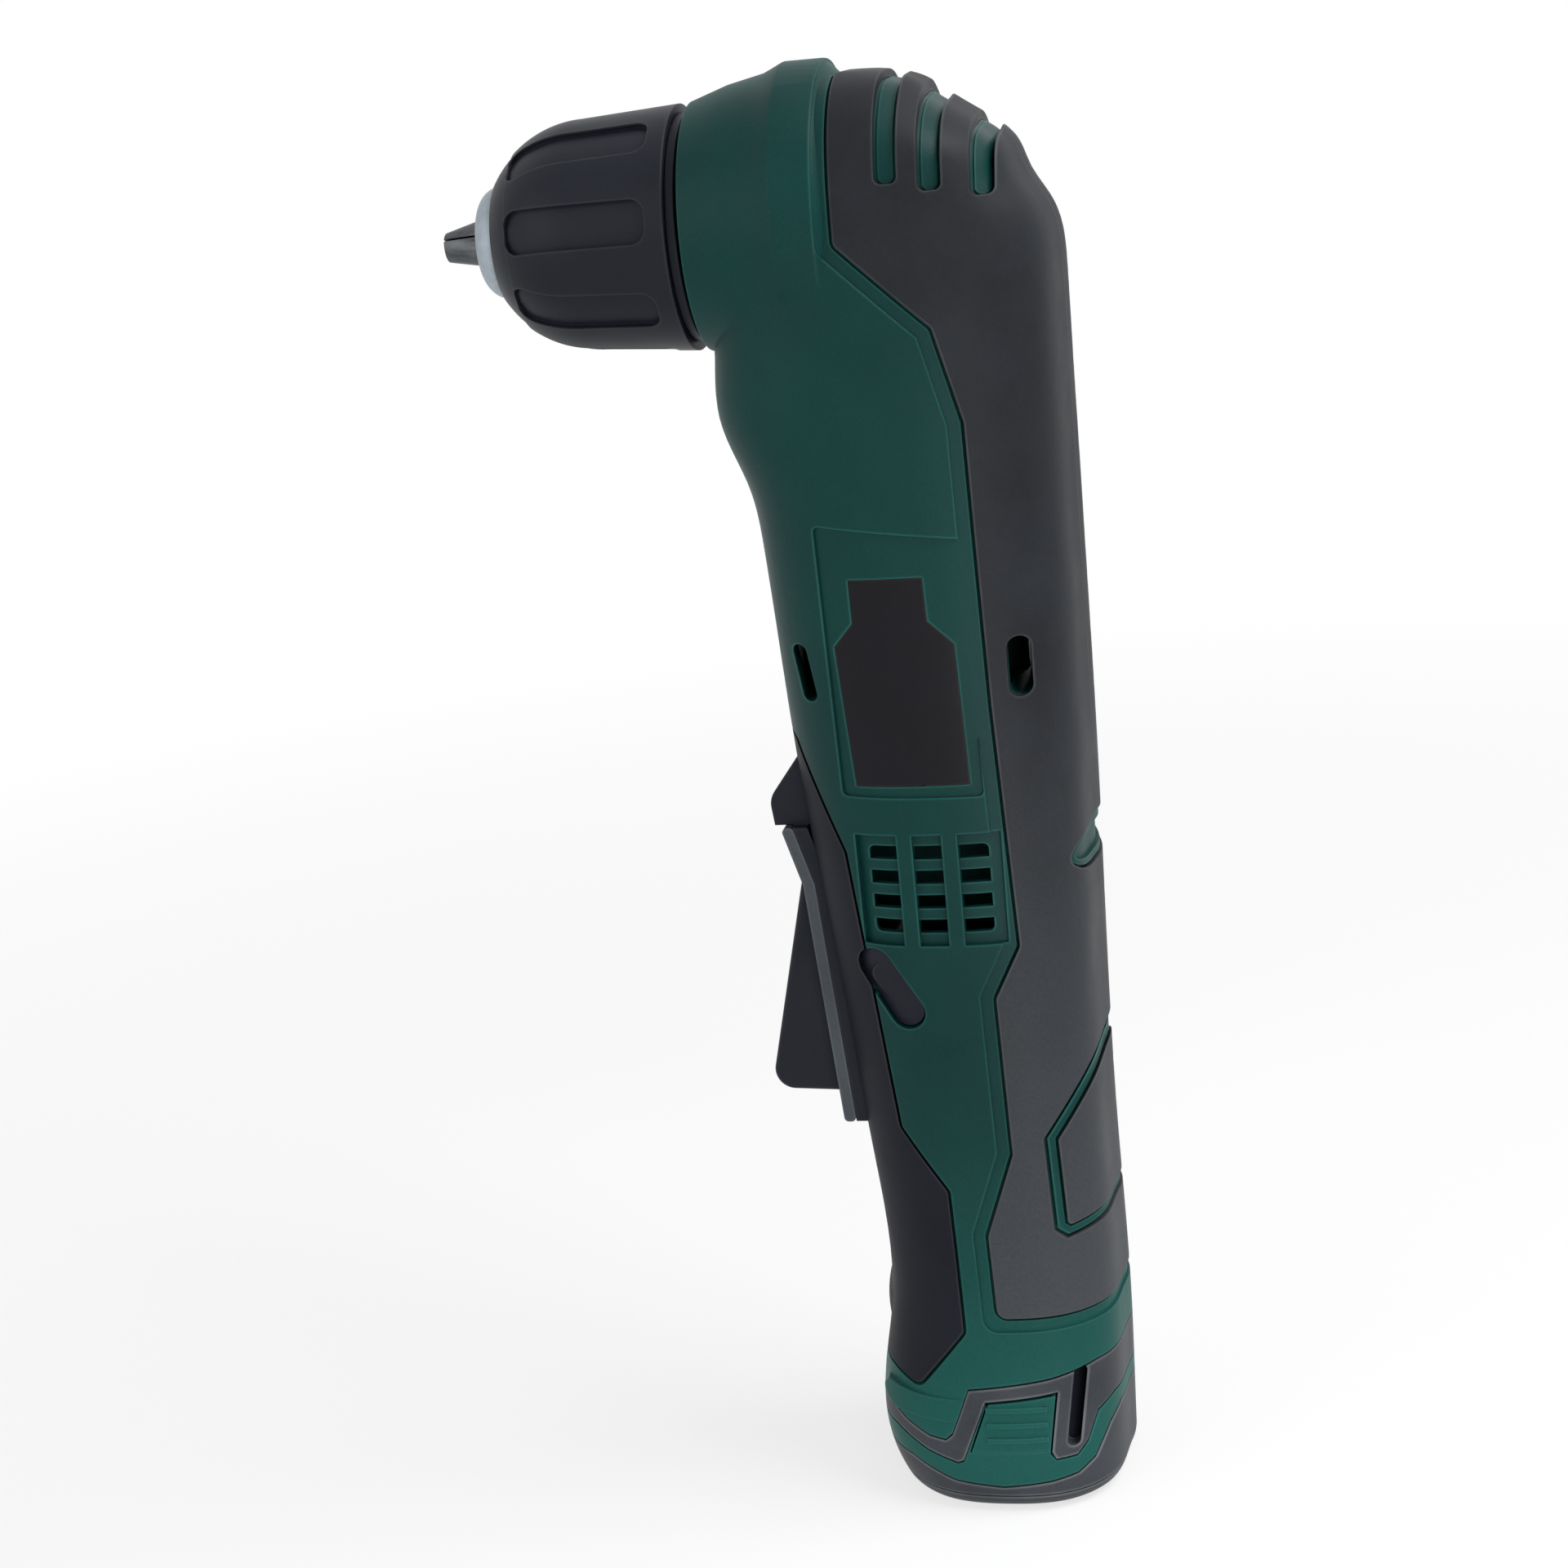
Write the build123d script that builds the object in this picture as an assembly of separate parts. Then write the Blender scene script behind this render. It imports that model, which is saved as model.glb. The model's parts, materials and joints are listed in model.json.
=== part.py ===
import math
import os
from build123d import *

os.makedirs("parts", exist_ok=True)

# The drill stands on its battery: origin at the middle of the base, +Z up the handle,
# chuck towards -X, left half towards -Y. All sizes in millimetres.

# Walls, skins and clearances
wall = 2.6
grip_skin = 1.4
groove = 0.6
rim_width = 2.3
rim_depth = 0.5
recess_depth = 1.2
running_gap = 0.06
sliding_gap = 0.3
seat_gap = 0.1
rib_thickness = 2.0
rib_inset = 6.0
stalk_rib_drop = 8.0

# Battery cells and stalk
cell_radius = 9.0
cell_length = 65.0
cell_gap = 0.1
stalk_wall = 0.7
stalk_room = 1.75
stalk_room_lengthways = 3.3
stalk_floor = 6.5
contact_board = 1.5
board_inset = 1.5
blade_pitch = 5.0
blade_thickness = 0.8
blade_length = 8.0

# Body: heights and reaches of its sections
spindle_height = 250.0
waist_height = 72.0
switch_section = 103.0
lamp_section = 150.0
neck_step = 11.6
waist_front = 24.6
switch_front = 27.4
lamp_front = 32.2
neck_front = 34.9
shoulder_front = 36.7
head_front = 40.8
spine_reach = 22.9
neck_back = 23.5
battery_front = 21.9
battery_back = 22.9
waist_half_width = 23.7
motor_half_width = 25.8
head_half_width = 26.6
section_points = 12
section_fullness = 2.5

# Crown of the head, behind the collar
crown_height = 26.0
crown_middle = -13.5
crown_back = 21.5
crown_half_width = 26.0
crown_width_curve = 2.4
crown_front_share = 0.6
crown_rises = (0.22, 0.44, 0.63, 0.79, 0.9, 0.97)
crown_backs = (18.1, 15.7, 9.8, 4.0, -0.1, -9.1)

# Collar and ring round the spindle
collar_front = 41.2
collar_swell_x = 34.6
collar_back_x = 27.6
ring_front_x = 23.9
ring_back_x = 16.5
collar_radius = 22.4
collar_swell = 24.6
collar_back_radius = 26.1
ring_radius = 27.8
collar_hole = 14.0
ring_rounding = 1.0

# Motor
motor_axis = -5.5
motor_radius = 18.0
motor_length = 52.0
motor_wall = 1.4
endbell_length = 6.5
shaft_radius = 1.6
rotor_radius = 11.4
rotor_slots = 5
rotor_start = 12.0
magnet_thickness = 4.0
magnet_split = 5.0
magnet_overhang = 2.0
rotor_end_gap = 4.0
rotor_slot_radius = 2.3
rotor_slot_circle = 7.7
rotor_mouth = 0.6
commutator_radius = 4.2
brush_width = 3.0
brush_height = 3.0
brush_holder_wall = 1.0
brush_tab = 0.8
fan_gap = 3.0
fan_height = 6.0
fan_blades = 8
fan_room = 1.2
fan_disc = 1.2
fan_hub = 4.8
fan_blade_reach = 14.8
fan_blade_half = 0.5
vent_half_width = 4.0

# Planet stage
gear_module = 0.7
sun_teeth = 12
planet_teeth = 15
ring_teeth = 42
planet_count = 3
planet_width = 6.5
ring_rim = 2.8
ring_floor = 3.0
carrier_thickness = 4.0
planet_pin_radius = 1.5
pressure_angle = math.radians(20)
backlash = 0.14
gear_tip_share = 0.85
gear_root_share = 1.25
flank_steps = 5
axial_gap = 0.5
carrier_radius = 13.2
motor_boss_radius = 6.5

# Bevel stage
bevel_module = 0.95
pinion_teeth = 11
bevel_teeth = 33
bevel_face = 4.6
bevel_tip_share = 0.85
bevel_root_share = 1.25
bevel_hub_radius = 8.0
pinion_hub = 2.0
pinion_hub_radius = 4.2
pinion_bore = 2.5
pinion_room = 8.0

# Bearings and spindle
pinion_bearing_radius = 9.5
pinion_bearing_width = 6.0
carrier_shaft_radius = 4.0
spindle_radius = 5.0
front_bearing_radius = 11.0
front_bearing_width = 6.0
rear_bearing_radius = 7.5
rear_bearing_width = 5.0
case_wall = 2.0
case_bore = 18.0
case_front = 24.0
chamber_back = 1.5
case_tail_radius = 11.0
case_shoulder = 15.8
case_tail_wall = 2.0
cover_flange = 3.0
cover_plug = 4.0
cover_nose_radius = 13.4
cover_lug_radius = 2.8
cover_lug_circle = 20.2
cover_lug_length = 10.0
cover_screw_count = 4
cover_screw_radius = 1.25
cover_screw_head = 2.2
cover_screw_head_height = 1.6
spindle_shoulder = 6.4

# Chuck
chuck_gap = 0.9
chuck_ring_width = 1.8
chuck_ring_radius = 20.6
sleeve_rear_radius = 22.15
sleeve_length = 34.7
sleeve_waist = 62.0
sleeve_waist_radius = 21.0
sleeve_curve_radius = 17.6
sleeve_front_radius = 12.2
sleeve_bore = 17.0
flute_count = 8
flute_turn = -9.0
flute_width = 7.8
flute_depth = 1.0
flute_start = 3.5
band_width = 4.1
band_step = 0.35
chuck_body_radius = 15.4
chuck_front_radius = 14.0
chuck_shoulder = 1.6
chuck_bore = 5.3
thread_radius = 4.7
thread_depth = 12.0
chuck_web = 2.4
jaw_radius = 3.3
jaw_angle = math.radians(15.6)
jaw_tip_reach = 90.3
jaw_tip_radius = 2.6
jaw_length = 25.5
jaw_half_gap = 0.2
jaw_count = 3
jaw_travel = 18.6
nut_width = 6.0
nut_radius = 16.0
nut_groove_radius = 7.1
nose_back = 76.0
nose_front = 82.7
nose_front_radius = 7.6
nose_round = 81.5
nose_round_radius = 9.3
nose_radius = 10.3
nose_stub_radius = 6.8
chuck_screw_radius = 2.5
chuck_screw_head = 3.3
chuck_screw_head_length = 3.0

# Trigger, switch and direction slider
paddle_half_width = 8.0
paddle_top = 127.6
paddle_low = 83.6
paddle_low_front = 43.1
paddle_top_front = 33.0
paddle_heel = 0.9
paddle_back = 24.5
paddle_corner = 4.0
paddle_rim = 1.2
paddle_room = 0.8
paddle_swing_room = 1.8
trigger_pin_radius = 1.5
trigger_pin_x = -25.5
trigger_pin_z = 124.2
trigger_post = 3.5
bezel_half_width = 10.5
bezel_depth = 2.3
bezel_seat = 5.2
bezel_rounding = 0.9
bezel_top = 137.9
bezel_bend = 126.3
bezel_low = 77.6
bezel_top_front = 35.8
bezel_bend_front = 32.4
bezel_low_front = 28.5
switch_front_x = -13.0
switch_back_x = 12.0
switch_half_width = 9.5
switch_low = 82.0
switch_high = 101.5
plunger_radius = 2.2
plunger_rounding = 0.8
plunger_height = 92.0
plunger_seat = 4.0
plunger_travel = 5.0
spring_coil_radius = 3.6
spring_wire_radius = 0.35
spring_turns = 6
spring_steps = 12
slider_x = -14.9
slider_z = 109.8
slider_turn = -57.5
slider_length = 10.0
slider_width = 4.2
slider_half_span = 21.2
slider_lug = 4.0
slider_cap_length = 16.8
slider_cap_width = 6.4

# Lamp
lamp_half_width = 8.5
lamp_top = 152.0
lamp_brow = 143.2
lamp_nose = 37.8
lamp_chin = 37.2
lamp_crest = 31.2
lamp_back = 29.0
lamp_rounding = 4.5
lamp_radius = 2.5
lamp_length = 3.2
lens_radius = 3.6
lens_thickness = 1.0
terminal_half_length = 10.0
terminal_half_width = 8.0
terminal_height = 5.5

# Openings in the housing
grille_low = 118.6
grille_high = 140.2
grille_front = -19.2
grille_back = 7.8
grille_rows = 4
grille_columns = 3
grille_margin = 2.4
grille_bar_width = 3.0
grille_opening_height = 2.6
grille_corner = 1.1
grille_web_half = 1.0
grille_web_back = 9.0
slot_height = 170.4
slot_length = 11.2
slot_width = 4.2
rear_slot_x = 13.2
front_slot_length = 10.8
front_slot_width = 3.0
front_slot_x = -26.3
front_slot_turn = -80.0
head_slot_places = (-3.7, 3.6, 12.1)
head_slot_width = 3.9
head_slot_corner = 1.2
head_slot_low = 6.5
head_slot_step = 1.7

# Soft grips and label
grip_corner = 2.0
rear_grip_low = 41.5
front_grip_low = 26.5
swell_radius = 22.0
swell_x = 2.4
swell_height = 36.0
label_top = 188.2
label_low = 149.5
label_margin = 3.8
label_corner = 1.0
oval_height = 131.8
oval_half_width = 16.0
oval_half_height = 4.6
oval_border = 2.0
panel_top = 78.5
panel_low = 57.6
panel_front = 12.0
panel_slope = 1.39
panel_channel = 2.6

# Fasteners of the housing: places in side view
screw_places = (
    (18.2, 226.0),
    (-30.5, 206.0),
    (17.6, 153.0),
    (-27.2, 158.0),
    (17.0, 122.0),
    (16.0, 79.0),
)
screw_radius = 1.3
screw_head = 2.8
screw_head_height = 1.8
screw_seat = 7.0
boss_radius = 3.2

# Battery joint
joint_gap = 0.4
seam = 0.4
lip_reach = 1.2
lip_slope = 1.9
lip_top = 24.4
latch_left_x = -3.3
latch_right_x = 10.8
latch_top = 24.1
latch_low = 13.4
latch_margin = 0.5
latch_left_lean = 3.9
latch_right_lean = 1.6
latch_crest = 1.3
latch_travel = 1.6
latch_thickness = 2.2
latch_stem = 3.0
latch_ridges = 3
latch_ridge_height = 0.4
latch_ridge_width = 1.1
latch_ridge_pitch = 3.2
latch_ridge_start = 2.2
trim_slit_width = 2.5
trim_slit_x = 14.2
trim_slit_rise = 3.0
trim_slit_turn = 82.0
latch_stem_left = 3.0
latch_stem_right = 8.3
latch_stem_rise = 2.0
latch_stem_drop = 3.0
base_floor = 3.0
base_rounding = 4.5
foot_line = 3.4

# Sizes that follow from the ones above
cell_pitch = 2 * cell_radius + cell_gap
cell_shift = cell_pitch / (4 * math.sqrt(3))
stalk_corner = cell_radius + cell_gap + stalk_wall
stalk_half_width = cell_pitch / 2 + stalk_corner
stalk_half_length = cell_pitch * math.sqrt(3) / 4 + stalk_corner
stalk_top = stalk_floor + cell_length + stalk_wall
handle_half_width = stalk_half_width + stalk_room + wall
handle_reach = stalk_half_length + stalk_room_lengthways + wall
full_width = 2 * max(head_half_width, ring_radius)
far = 4 * spindle_height

pinion_radius = bevel_module * pinion_teeth / 2
bevel_radius = bevel_module * bevel_teeth / 2
bevel_distance = math.hypot(pinion_radius, bevel_radius)
pinion_back = spindle_height - bevel_radius
pinion_front = spindle_height - bevel_radius * (bevel_distance - bevel_face) / bevel_distance
bearing_top = pinion_back - pinion_hub
bearing_low = bearing_top - pinion_bearing_width
carrier_top = bearing_low - axial_gap
carrier_low = carrier_top - carrier_thickness
planet_top = carrier_low - axial_gap
planet_low = planet_top - planet_width
ring_low = planet_low - axial_gap - ring_floor
motor_top = ring_low
motor_low = motor_top - motor_length
endbell_low = motor_low - endbell_length
planet_offset = gear_module * (sun_teeth + planet_teeth) / 2
ring_outer_radius = gear_module * ring_teeth / 2 + ring_rim + gear_module
case_radius = ring_outer_radius + case_wall
brush_low = motor_low + brush_holder_wall
brush_top = brush_low + brush_height
front_bearing_back = -case_front + cover_plug
front_bearing_front = front_bearing_back - front_bearing_width

chuck_back = collar_front + chuck_gap
sleeve_back = chuck_back + chuck_ring_width
sleeve_front = sleeve_back + sleeve_length
nut_front = jaw_tip_reach - jaw_travel - axial_gap
nut_back = nut_front - nut_width
thread_end = chuck_back + thread_depth


def cylinder_z(radius, low, high, x=0.0, y=0.0):
    return Pos(x, y, (low + high) / 2) * Cylinder(radius, high - low)


def cylinder_x(radius, left, right, y=0.0, z=spindle_height):
    return Pos((left + right) / 2, y, z) * Rot(0, 90, 0) * Cylinder(radius, right - left)


def cylinder_y(radius, low, high, x, z):
    return Pos(x, (low + high) / 2, z) * Rot(90, 0, 0) * Cylinder(radius, high - low)


def block(left, right, near, away, low, high):
    middle = ((left + right) / 2, (near + away) / 2, (low + high) / 2)
    return Pos(*middle) * Box(right - left, away - near, high - low)


def outline(points, rounding=0.0):
    shape = make_face(Polyline(*points, close=True))
    if rounding:
        shape = fillet(shape.vertices(), rounding)
    return shape


def across(shape, half_width=full_width):
    return extrude(Plane.XZ * shape, amount=half_width, both=True)


def turned(profile, rounding=0.0):
    shape = make_face(Polyline(*profile, close=True))
    if rounding:
        crest = shape.vertices().group_by(Axis.Y)[-1]
        shape = fillet(crest, rounding)
    face = Pos(0, 0, spindle_height) * (Plane.XZ * shape)
    return revolve(face, Axis((0, 0, spindle_height), (1, 0, 0)))


def half(solid, side):
    return solid & block(-far, far, min(0, side * far), max(0, side * far), -far, far)


def oval(height, front, back, half_width):
    middle = (back - front) / 2
    reach = (back + front) / 2
    points = []
    for step in range(section_points):
        turn = 2 * math.pi * step / section_points
        along = math.copysign(abs(math.cos(turn)) ** (2 / section_fullness), math.cos(turn))
        sideways = math.copysign(abs(math.sin(turn)) ** (2 / section_fullness), math.sin(turn))
        points.append((middle + reach * along, half_width * sideways, height))
    return Wire(Spline(*points, periodic=True))


# Outer form of the whole tool, or the same form taken in by an inset
def body(inset):
    head = spindle_height
    sections = [
        (0.0, battery_front, battery_back, handle_half_width),
        (waist_height / 2, handle_reach, handle_reach, handle_half_width),
        (waist_height, waist_front, spine_reach, waist_half_width),
        (switch_section, switch_front, spine_reach, (waist_half_width + motor_half_width) / 2),
        (lamp_section, lamp_front, neck_back, motor_half_width),
        (head - 5 * neck_step, neck_front, neck_back, head_half_width),
        (head - 4 * neck_step, shoulder_front, neck_back, head_half_width),
        (head - 3 * neck_step, head_front, neck_back, head_half_width),
        (head - 2 * neck_step, head_front, neck_back, head_half_width),
        (head - neck_step, head_front, neck_back, head_half_width),
        (head, head_front, crown_back, crown_half_width),
    ]
    wires = [oval(z, front - inset, back - inset, width - inset) for z, front, back, width in sections]
    for rise, back in zip(crown_rises, crown_backs):
        width_share = (1 - rise ** crown_width_curve) ** (1 / crown_width_curve)
        front = head_front - (head_front + crown_middle) * crown_front_share * rise
        width = (crown_half_width - inset) * width_share
        wires.append(oval(head + (crown_height - inset) * rise, front - inset, back - inset, width))
    profile = [
        (-collar_front + inset, 0),
        (-collar_front + inset, collar_radius - inset),
        (-collar_swell_x, collar_swell - inset),
        (-collar_back_x, collar_back_radius - inset),
        (-ring_front_x, ring_radius - inset),
        (-ring_back_x, ring_radius - inset),
        (crown_middle, crown_height - inset - grip_skin),
        (crown_middle, 0),
    ]
    return Solid.make_loft(wires) + turned(profile, ring_rounding)


# Side view outlines, mirrored onto both halves
def rear_grip_points():
    return [
        (crown_middle, far),
        (crown_middle, spindle_height - 3.0),
        (2.4, spindle_height - 18.2),
        (6.7, spindle_height - 35.0),
        (7.9, lamp_section + 14.0),
        (grille_back + 2.0, grille_low - 1.0),
        (grille_back - 3.0, grille_low - 10.8),
        (grille_back - 2.2, waist_height + 4.0),
        (-0.3, waist_height - 13.0),
        (0.3, rear_grip_low),
        (far, rear_grip_low),
        (far, far),
    ]


def rear_grip_outline():
    return outline(rear_grip_points(), grip_corner)


def rim_outline():
    return offset(outline(rear_grip_points()), groove + rim_width)


def front_grip_outline():
    points = [
        (-far, lamp_section + 7.0),
        (-lamp_front + 1.5, lamp_section + 7.0),
        (grille_front - 2.6, grille_high - 4.0),
        (grille_front - 0.6, grille_low - 1.0),
        (-15.9, waist_height + 9.0),
        (-7.4, waist_height - 3.7),
        (-6.6, front_grip_low + 12.0),
        (-16.5, front_grip_low - 0.5),
        (-22.0, front_grip_low + 1.0),
        (-far, front_grip_low + 1.0),
    ]
    return outline(points, grip_corner)


def label_panel_outline():
    edge = label_margin
    points = [
        (-18.0 - edge, label_top + 2.6 * edge),
        (0.9 + edge, label_top + 1.7 * edge),
        (1.6 + edge, label_low - 0.6 * edge),
        (-17.0 - edge, label_low - 0.5 * edge),
    ]
    return outline(points, label_corner)


def label_outline():
    points = [
        (-16.1, label_top),
        (-2.6, label_top),
        (-2.3, label_top - 8.0),
        (2.2, label_top - 12.4),
        (3.1, label_low),
        (-18.0, label_low),
        (-19.8, label_top - 12.4),
        (-16.0, label_top - 8.0),
    ]
    return outline(points)


# Lower edge of the housing; the battery's trim lies a gap below it
def joint_line(drop):
    points = [
        (-far, 19.6),
        (-22.6, 19.4),
        (-20.2, 18.0),
        (-15.1, 16.1),
        (-11.7, 15.8),
        (-10.2, 17.2),
        (-6.5, 26.7),
        (9.7, 28.7),
        (18.3, 30.3),
        (far, 30.4),
    ]
    return [(x, z - drop) for x, z in points]


def trim_line(drop):
    points = [
        (-far, 15.6),
        (-22.4, 15.4),
        (-20.3, 14.7),
        (-15.4, 12.7),
        (-9.5, 11.0),
        (-8.3, 11.6),
        (latch_left_x, latch_top),
        (latch_right_x - drop, latch_top + 1.5),
        (9.0 - drop, 13.1),
        (9.7, 11.5),
        (13.7, 11.6),
        (15.7, 13.9),
        (17.9, 19.5),
        (20.9, 21.3),
        (far, 20.7),
    ]
    return [(x, z - drop) for x, z in points]


def base_line(drop):
    points = [
        (-far, 11.0),
        (-19.2, 10.2),
        (-10.3, 6.9),
        (-0.8, 5.9),
        (8.5, 6.8),
        (13.7, 7.7),
        (16.9, 9.9),
        (19.9, 15.6),
        (21.8, 17.8),
        (far, 17.2),
    ]
    return [(x, z - drop) for x, z in points]


def below(line):
    return across(outline(line + [(far, -far), (-far, -far)]))


def pill(length, width):
    return SlotOverall(length, width)


def side_pill(x, z, length, width, turn):
    return across(Pos(x, z) * Rot(0, 0, turn) * pill(length, width))


# Three cells side by side, seen from above
def cell_places():
    back = cell_pitch / math.sqrt(3) - cell_shift
    front = -cell_pitch / (2 * math.sqrt(3)) - cell_shift
    return [(back, 0.0), (front, cell_pitch / 2), (front, -cell_pitch / 2)]


def stalk_shape(radius):
    places = cell_places()
    shape = make_face(Polyline(*places, close=True))
    return offset(shape, radius)


def stalk_prism(radius, low, high):
    return Pos(0, 0, low) * extrude(stalk_shape(radius), amount=high - low)


# Toothed wheels
def involute(radius, base_radius):
    if radius <= base_radius:
        return 0.0
    roll = math.sqrt((radius / base_radius) ** 2 - 1)
    return roll - math.atan(roll)


def gear_outline(teeth, module, slack, tip_share, root_share):
    pitch = module * teeth / 2
    base = pitch * math.cos(pressure_angle)
    tip = pitch + tip_share * module
    root = pitch - root_share * module
    start = max(base, root)
    middle_angle = math.pi / (2 * teeth) + involute(pitch, base) - slack / (2 * pitch)
    flank = []
    for step in range(flank_steps):
        radius = start + (tip - start) * step / (flank_steps - 1)
        flank.append((radius, middle_angle - involute(radius, base)))
    if root < start:
        flank.insert(0, (root, flank[0][1]))
    points = []
    for tooth in range(teeth):
        turn = 2 * math.pi * tooth / teeth
        for radius, angle in flank:
            points.append((radius * math.cos(turn - angle), radius * math.sin(turn - angle)))
        for radius, angle in reversed(flank):
            points.append((radius * math.cos(turn + angle), radius * math.sin(turn + angle)))
    return make_face(Polyline(*points, close=True))


# A point of the bevel flank on the unit sphere: angle from the gear axis and angle round it
def spherical_flank(cone_angle, base_angle):
    if cone_angle <= base_angle:
        return 0.0
    roll = math.acos(math.cos(cone_angle) / math.cos(base_angle)) / math.sin(base_angle)
    return roll - math.atan2(math.tan(roll * math.sin(base_angle)), math.sin(base_angle))


def bevel_solid(teeth, mate_teeth, slack):
    cone = math.atan2(teeth, mate_teeth)
    pitch = bevel_module * teeth / 2
    distance = pitch / math.sin(cone)
    base = math.asin(math.sin(cone) * math.cos(pressure_angle))
    tip = cone + math.atan(bevel_tip_share * bevel_module / distance)
    root = cone - math.atan(bevel_root_share * bevel_module / distance)
    start = max(base, root)
    middle_angle = math.pi / (2 * teeth) + spherical_flank(cone, base) - slack / (2 * pitch)
    flank = []
    for step in range(flank_steps):
        angle = start + (tip - start) * step / (flank_steps - 1)
        flank.append((angle, middle_angle - spherical_flank(angle, base)))
    if root < start:
        flank.insert(0, (root, flank[0][1]))
    ring = []
    for tooth in range(teeth):
        turn = 2 * math.pi * tooth / teeth
        ring += [(angle, turn - spread) for angle, spread in flank]
        ring += [(angle, turn + spread) for angle, spread in reversed(flank)]
    reach = 2 * bevel_module * math.sin(cone)
    faces = []
    for height in (distance * math.cos(cone) + reach, (distance - bevel_face) * math.cos(cone) - reach):
        points = []
        for angle, turn in ring:
            radius = height * math.tan(angle)
            points.append((radius * math.cos(turn), radius * math.sin(turn), height))
        faces.append(Wire(Polyline(*points, close=True)))
    cut = Solid.make_loft(faces, ruled=True)
    return cut & bevel_blank(cone, distance)


# Blank that bounds the teeth: a back cone at the big end, a front cone at the small end
def bevel_blank(cone, distance):
    near = distance - bevel_face

    def across_cone(length, step):
        radius = length * math.sin(cone) + step * math.cos(cone)
        return (radius, length * math.cos(cone) - step * math.sin(cone))

    step = 2 * bevel_module
    back = across_cone(distance, -step)
    profile = [
        (0, near * math.cos(cone)),
        across_cone(near, 0),
        across_cone(near, step),
        across_cone(distance, step),
        back,
        (0, back[1]),
    ]
    return revolve(Plane.XZ * make_face(Polyline(*profile, close=True)), Axis.Z)


# Gear case, cover and housing ribs
def lug_places():
    places = []
    for step in range(cover_screw_count):
        turn = math.pi * (2 * step + 1) / cover_screw_count
        places.append((cover_lug_circle * math.cos(turn), spindle_height + cover_lug_circle * math.sin(turn)))
    return places


def gear_case():
    tail_end = chamber_back + rear_bearing_width + case_tail_wall
    shell = turned([
        (-case_front, 0),
        (-case_front, case_radius),
        (motor_axis, case_radius),
        (chamber_back, case_shoulder),
        (chamber_back, case_tail_radius),
        (tail_end, case_tail_radius),
        (tail_end, 0),
    ])
    shell += cylinder_z(case_radius, ring_low, spindle_height, motor_axis)
    for y, z in lug_places():
        shell += cylinder_x(cover_lug_radius, -case_front, -case_front + cover_lug_length, y, z)
    shell -= cylinder_x(cover_lug_circle + 2 * cover_lug_radius, -far, -case_front)
    shell -= cylinder_x(case_bore, -case_front, motor_axis - seat_gap)
    shell -= cylinder_x(pinion_room, motor_axis - seat_gap, chamber_back)
    shell -= cylinder_z(pinion_room, bearing_top, spindle_height, motor_axis)
    shell -= cylinder_x(rear_bearing_radius, chamber_back, chamber_back + rear_bearing_width)
    shell -= cylinder_z(pinion_bearing_radius, bearing_low, bearing_top, motor_axis)
    shell -= cylinder_z(carrier_radius + axial_gap, planet_top, bearing_low, motor_axis)
    shell -= cylinder_z(ring_outer_radius, ring_low, planet_top, motor_axis)
    for y, z in lug_places():
        shell -= cylinder_x(cover_screw_radius, -case_front, -case_front + cover_lug_length, y, z)
    return shell


def gear_cover():
    seat_back = -case_front + cover_plug
    nose = -collar_front + wall
    cover = turned([
        (nose, 0),
        (nose, cover_nose_radius),
        (-case_front - cover_flange, cover_nose_radius),
        (-case_front - cover_flange, case_radius),
        (-case_front, case_radius),
        (-case_front, case_bore),
        (seat_back, case_bore),
        (seat_back, 0),
    ])
    for y, z in lug_places():
        cover += cylinder_x(cover_lug_radius, -case_front - cover_flange, -case_front, y, z)
        cover -= cylinder_x(cover_screw_radius, -case_front - cover_flange, -case_front, y, z)
    cover -= cylinder_x(front_bearing_radius, front_bearing_front, seat_back)
    cover -= cylinder_x(spindle_shoulder + axial_gap, nose, front_bearing_front)
    return cover


def cover_screws():
    screws = []
    seat = -case_front - cover_flange
    for y, z in lug_places():
        shank = cylinder_x(cover_screw_radius, seat, -case_front + cover_lug_length, y, z)
        screws.append(shank + cylinder_x(cover_screw_head, seat - cover_screw_head_height, seat, y, z))
    return Compound(screws)


def bearing_z(outer, bore, low, high):
    return cylinder_z(outer, low, high, motor_axis) - cylinder_z(bore, low, high, motor_axis)


def bearing_x(outer, bore, left, right):
    return cylinder_x(outer, left, right) - cylinder_x(bore, left, right)


# Motor
def motor_can():
    can = cylinder_z(motor_radius, motor_low, motor_top, motor_axis)
    can -= cylinder_z(motor_radius - motor_wall, motor_low, motor_top - motor_wall, motor_axis)
    can += cylinder_z(motor_boss_radius, motor_top, motor_top + ring_floor, motor_axis)
    can -= cylinder_z(shaft_radius + running_gap, motor_low, motor_top + ring_floor, motor_axis)
    vent_low = motor_top - fan_gap - fan_height
    for turn in range(0, 360, 90):
        vent = block(0, far, -vent_half_width, vent_half_width, vent_low, vent_low + fan_height)
        can -= Pos(motor_axis, 0, 0) * Rot(0, 0, turn) * vent
    return can


def motor_magnets():
    outer = motor_radius - motor_wall
    low = motor_low + rotor_start - magnet_overhang
    high = motor_top - fan_gap - fan_height - magnet_overhang
    ring = cylinder_z(outer, low, high, motor_axis)
    ring -= cylinder_z(outer - magnet_thickness, low, high, motor_axis)
    return ring - block(-far, far, -magnet_split, magnet_split, low, high)


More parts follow.
